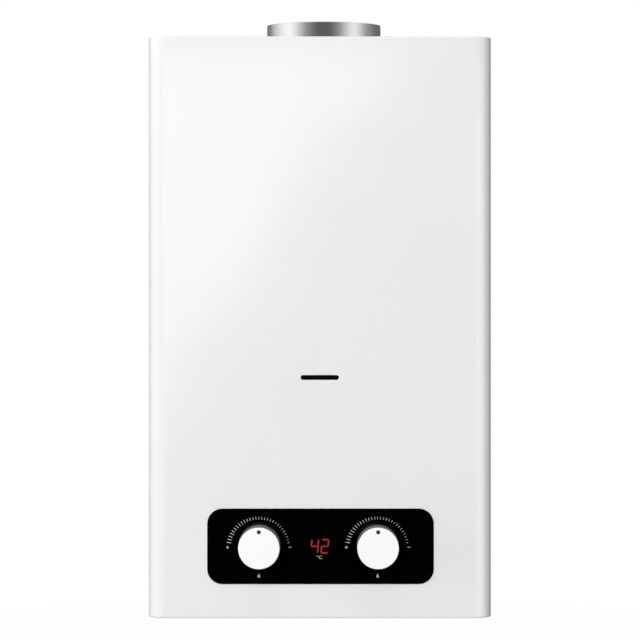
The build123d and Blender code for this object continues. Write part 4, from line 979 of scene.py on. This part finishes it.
def drainCock():
    d = drain
    low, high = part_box("drain_cock")
    radius = (high.x - low.x) / 2
    x, y = (low.x + high.x) / 2, low.y + radius
    top = low.z + d["gripTall"]
    inset, drop = quarterRound(d["round"], d["roundSteps"])
    radii = [0, *(radius - inset), *(radius - inset[::-1]), 0]
    heights = [low.z, *(low.z + drop), *(top - drop[::-1]), top]
    grip = turnedSheet(radii, heights, (x, y, 0), steps=d["gripSteps"],
                       lobes=lambda a: 1 - d["lobe"] + d["lobe"] * np.cos(d["lobes"] * a))
    stem = turnedSheet([0, d["stem"], d["stem"], 0], [top, top, high.z, high.z], (x, y, 0))
    lever = roundedBar((x - d["leverHalf"], y, low.z), (x + d["leverHalf"], high.y, top), d["round"])
    makePiece("drainGrip", [grip, stem, lever], "drain_cock")


# Grip bars under the battery lid's free edge.
lidGrip = {"bars": 5, "first": 0.006, "pitch": 0.0032, "halfLong": 0.014, "wide": 0.0014, "under": 0.0170,
           "proud": 0.0006, "sunk": 0.0004, "round": 0.0004}


def lidBars():
    g = lidGrip
    low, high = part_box("battery_lid")
    middle = (low.x + high.x) / 2
    sheets = []
    for row in range(g["bars"]):
        y = low.y + g["first"] + row * g["pitch"]
        start = (middle - g["halfLong"], y, g["under"] - g["proud"])
        end = (middle + g["halfLong"], y + g["wide"], g["under"] + g["sunk"])
        sheets.append(roundedBar(start, end, g["round"]))
    makePiece("lidGripBars", sheets, body=bodyOf["battery_lid"], slot="black_plastic")


pipeStubs()
coverScrews()
drainCock()
lidBars()
print("fittings made")


# Softened copies of the other CAD nodes: the same form with its vertices joined and its edges rolled.
soften = {"edge": 0.0003, "steps": 2, "turn": 40.0}


def softened(name):
    mesh = nodes[name].data.copy()
    mesh.name = name + "Soft"
    work = bmesh.new()
    work.from_mesh(mesh)
    bmesh.ops.remove_doubles(work, verts=work.verts, dist=join["merge"])
    work.to_mesh(mesh)
    work.free()
    mesh.polygons.foreach_set("use_smooth", [False] * len(mesh.polygons))
    piece = placed(name + "Soft", mesh)
    piece.matrix_world = nodes[name].matrix_world.copy()
    modifier(piece, "roll", "BEVEL", width=soften["edge"], segments=soften["steps"], loop_slide=False,
             limit_method="ANGLE", angle_limit=math.radians(soften["turn"]))
    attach(piece, bodyOf[name])
    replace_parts(piece, name)


stoodFor = {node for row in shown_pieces() for node in row.get("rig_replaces", [])}
for name in nodes:
    if name not in stoodFor:
        softened(name)
print("nodes softened:", len(nodes) - len(stoodFor))

# Stage, light and world.
studio = {"floor": -3.4, "floorReach": 30.0, "floorSteps": 64, "fill": 0.16, "aim": (0.0, -0.09, 0.28)}


def stagePiece(name, points, faces, material):
    mesh = bpy.data.meshes.new(name)
    mesh.from_pydata([tuple(point) for point in points], [], faces)
    mesh.materials.append(material)
    piece = placed(name, mesh)
    return piece


def glossOnly(piece):
    piece.visible_camera = False
    piece.visible_diffuse = False
    piece.visible_transmission = False
    piece.visible_shadow = False


# The floor is far below the lamps, so the camera sees it lifted to near white, with shadows still on it.
def floorFinish():
    f = newFinish("studioFloor")
    grain = f.noise(12.0, 3.0)
    tone = f.mix(grain * 0.3, grey(0.86), grey(0.83))
    seen = Value(f, f.node("ShaderNodeLightPath").outputs["Is Camera Ray"])
    lift = f.mix(seen, grey(0), grey(0.85))
    return f.surface(tone, grain * 0.1 + 0.6, specular=0.0, emission=lift, emissionStrength=1.0)


def studioFloor():
    reach = studio["floorReach"]
    angle = fullTurn(studio["floorSteps"])
    rim = xyz(reach * np.cos(angle), reach * np.sin(angle), studio["floor"])
    stagePiece("studioFloor", rim, [list(range(len(angle)))], floorFinish())


# What polished surfaces see: a ring of cards, with a level for each direction in degrees from ahead.
# The metal of the collar sees its upper part, and the enamel and the fascia its lower part.
ring = {"radius": 3.4, "steps": 240, "gain": 1.0, "heights": [-0.7, 0.765, 0.785, 1.6]}
enamelLevels = [(-180, 0.2), (-168, 0.3), (-14, 0.3), (-10, 0.01), (10, 0.01), (15, 1.8),
                (22, 3.1), (52, 3.1), (61, 2.6), (69, 1.4), (78, 0.9), (87, 0.6), (97, 0.4), (136, 0.15),
                (180, 0.2)]
collarLevels = [(-180, 0.2), (-147, 0.24), (-136, 0.31), (-116, 0.72), (-102, 0.96), (-89, 1.15),
                (-79, 1.27), (-69, 1.28), (-59, 1.06), (-51, 0.82), (-42, 0.57), (-34, 0.38), (-26, 0.27),
                (-18, 0.19), (-11, 0.13), (4, 0.126), (12, 0.158), (20, 0.225), (29, 0.35), (37, 0.56),
                (46, 0.8), (55, 1.03), (64, 1.08), (74, 0.91), (85, 0.6), (96, 0.41), (110, 0.3),
                (125, 0.2), (147, 0.16), (180, 0.2)]


def glowFinish(name, strength, clear):
    f = newFinish(name)
    level = f.node("ShaderNodeAttribute", {"attribute_name": "level"}).outputs
    glow = f.node("ShaderNodeEmission", None, {"Color": level["Color"], "Strength": strength})
    out = glow.outputs[0]
    if clear:
        nothing = f.node("ShaderNodeBsdfTransparent").outputs[0]
        out = f.node("ShaderNodeMixShader", None, {0: level["Fac"], 1: nothing, 2: out}).outputs[0]
    f.node("ShaderNodeOutputMaterial", None, {"Surface": out})
    return f.owner


def giveLevels(piece, levels):
    layer = piece.data.color_attributes.new("level", "FLOAT_COLOR", "POINT")
    shade = np.repeat(np.asarray(levels, float).reshape(-1, 1), 4, axis=1)
    layer.data.foreach_set("color", shade.ravel())


# S(a, z) = r(sin a, -cos a) at height z; the level is read off the table by the angle.
def studioRing():
    r = ring
    angle = np.linspace(-math.pi, math.pi, r["steps"] + 1)
    x, y = r["radius"] * np.sin(angle), -r["radius"] * np.cos(angle)
    lines = np.array([xyz(x, y, height) for height in r["heights"]])
    sheet = gridSheet(lines, closeColumns=False)
    piece = stagePiece("studioRing", *sheet, glowFinish("ringGlow", r["gain"], False))
    low, high = (np.interp(np.degrees(angle), *zip(*levels)) for levels in (enamelLevels, collarLevels))
    giveLevels(piece, np.concatenate([low, low, high, high]))
    glossOnly(piece)


# A bright card above and to the left, which the enamel mirrors with a soft slanting edge. Its edge is
# given as (across, height) on the case's front, and the card lies where a mirror there shows it.
card = {"ahead": 1.4, "strength": 2.7, "soft": 0.05, "left": -0.34, "right": 0.16, "low": 0.04,
        "high": 0.552, "steps": 64,
        "across": [-0.260, -0.1485, -0.1341, -0.1149, -0.0861, -0.0621, -0.0382, -0.0190, -0.0046,
                   0.0194, 0.0578, 0.0770, 0.0866],
        "height": [0.0600, 0.1999, 0.2383, 0.2671, 0.2959, 0.3246, 0.3630, 0.4014, 0.4398,
                   0.4685, 0.4877, 0.5165, 0.5549]}


def glossCard():
    c = card
    columns = np.linspace(c["left"], c["right"], c["steps"])
    rows = np.linspace(c["low"], c["high"], c["steps"])
    x, z = np.meshgrid(columns, rows, indexing="ij")
    edge = np.interp(z, c["height"], c["across"])
    away = np.clip((edge - x) / c["soft"] + 0.5, 0, 1)
    level = away * away * (3 - 2 * away)
    spread = 1 + c["ahead"] / camera["distance"]
    height = camera["height"] + (z - camera["height"]) * spread
    sheet = gridSheet(xyz(x * spread, caseLow.y - c["ahead"], height), closeColumns=False)
    piece = stagePiece("glossCard", *sheet, glowFinish("cardGlow", c["strength"], True))
    giveLevels(piece, level)
    glossOnly(piece)


# Softboxes: azimuth (0 is straight ahead, + is to the right), elevation, distance, width, height, watts.
lamps = {"keyHigh": (-6, 22, 3.7, 2.4, 1.4, 68.5), "keyLow": (-6, -14, 3.7, 2.4, 1.0, 40.0),
         "leftSide": (-80, 4, 3.0, 1.0, 1.8, 38.0), "topSide": (-20, 78, 2.6, 1.8, 1.4, 19.0),
         "backRight": (150, 30, 3.4, 1.6, 1.4, 46.0), "backLeft": (-155, 25, 3.4, 1.6, 1.4, 40.0)}


def softbox(name, azimuth, elevation, distance, wide, tall, watts):
    aim = Vector(studio["aim"])
    turn, rise = math.radians(azimuth), math.radians(elevation)
    way = Vector((math.sin(turn) * math.cos(rise), -math.cos(turn) * math.cos(rise), math.sin(rise)))
    data = bpy.data.lights.new(name, "AREA")
    data.shape = "RECTANGLE"
    data.size, data.size_y = wide, tall
    data.energy = watts
    lamp = placed(name, data)
    lamp.location = aim + way * distance
    lamp.rotation_euler = (-way).to_track_quat("-Z", "Y").to_euler()
    lamp.visible_glossy = False
    lamp.visible_camera = False


def studioWorld():
    world = bpy.data.worlds.new("studio")
    bpy.context.scene.world = world
    f = Finish(world)
    path = f.node("ShaderNodeLightPath")
    seen = Value(f, path.outputs["Is Camera Ray"]) + Value(f, path.outputs["Is Glossy Ray"])
    seen = seen + Value(f, path.outputs["Is Transmission Ray"])
    strength = seen.clamped() * (1.0 - studio["fill"]) + studio["fill"]
    sky = f.node("ShaderNodeBackground", None, {"Color": grey(1), "Strength": strength})
    f.node("ShaderNodeOutputWorld", None, {"Surface": sky.outputs[0]})


studioFloor()
studioRing()
glossCard()
studioWorld()
for name, values in lamps.items():
    softbox(name, *values)
print("studio lit")
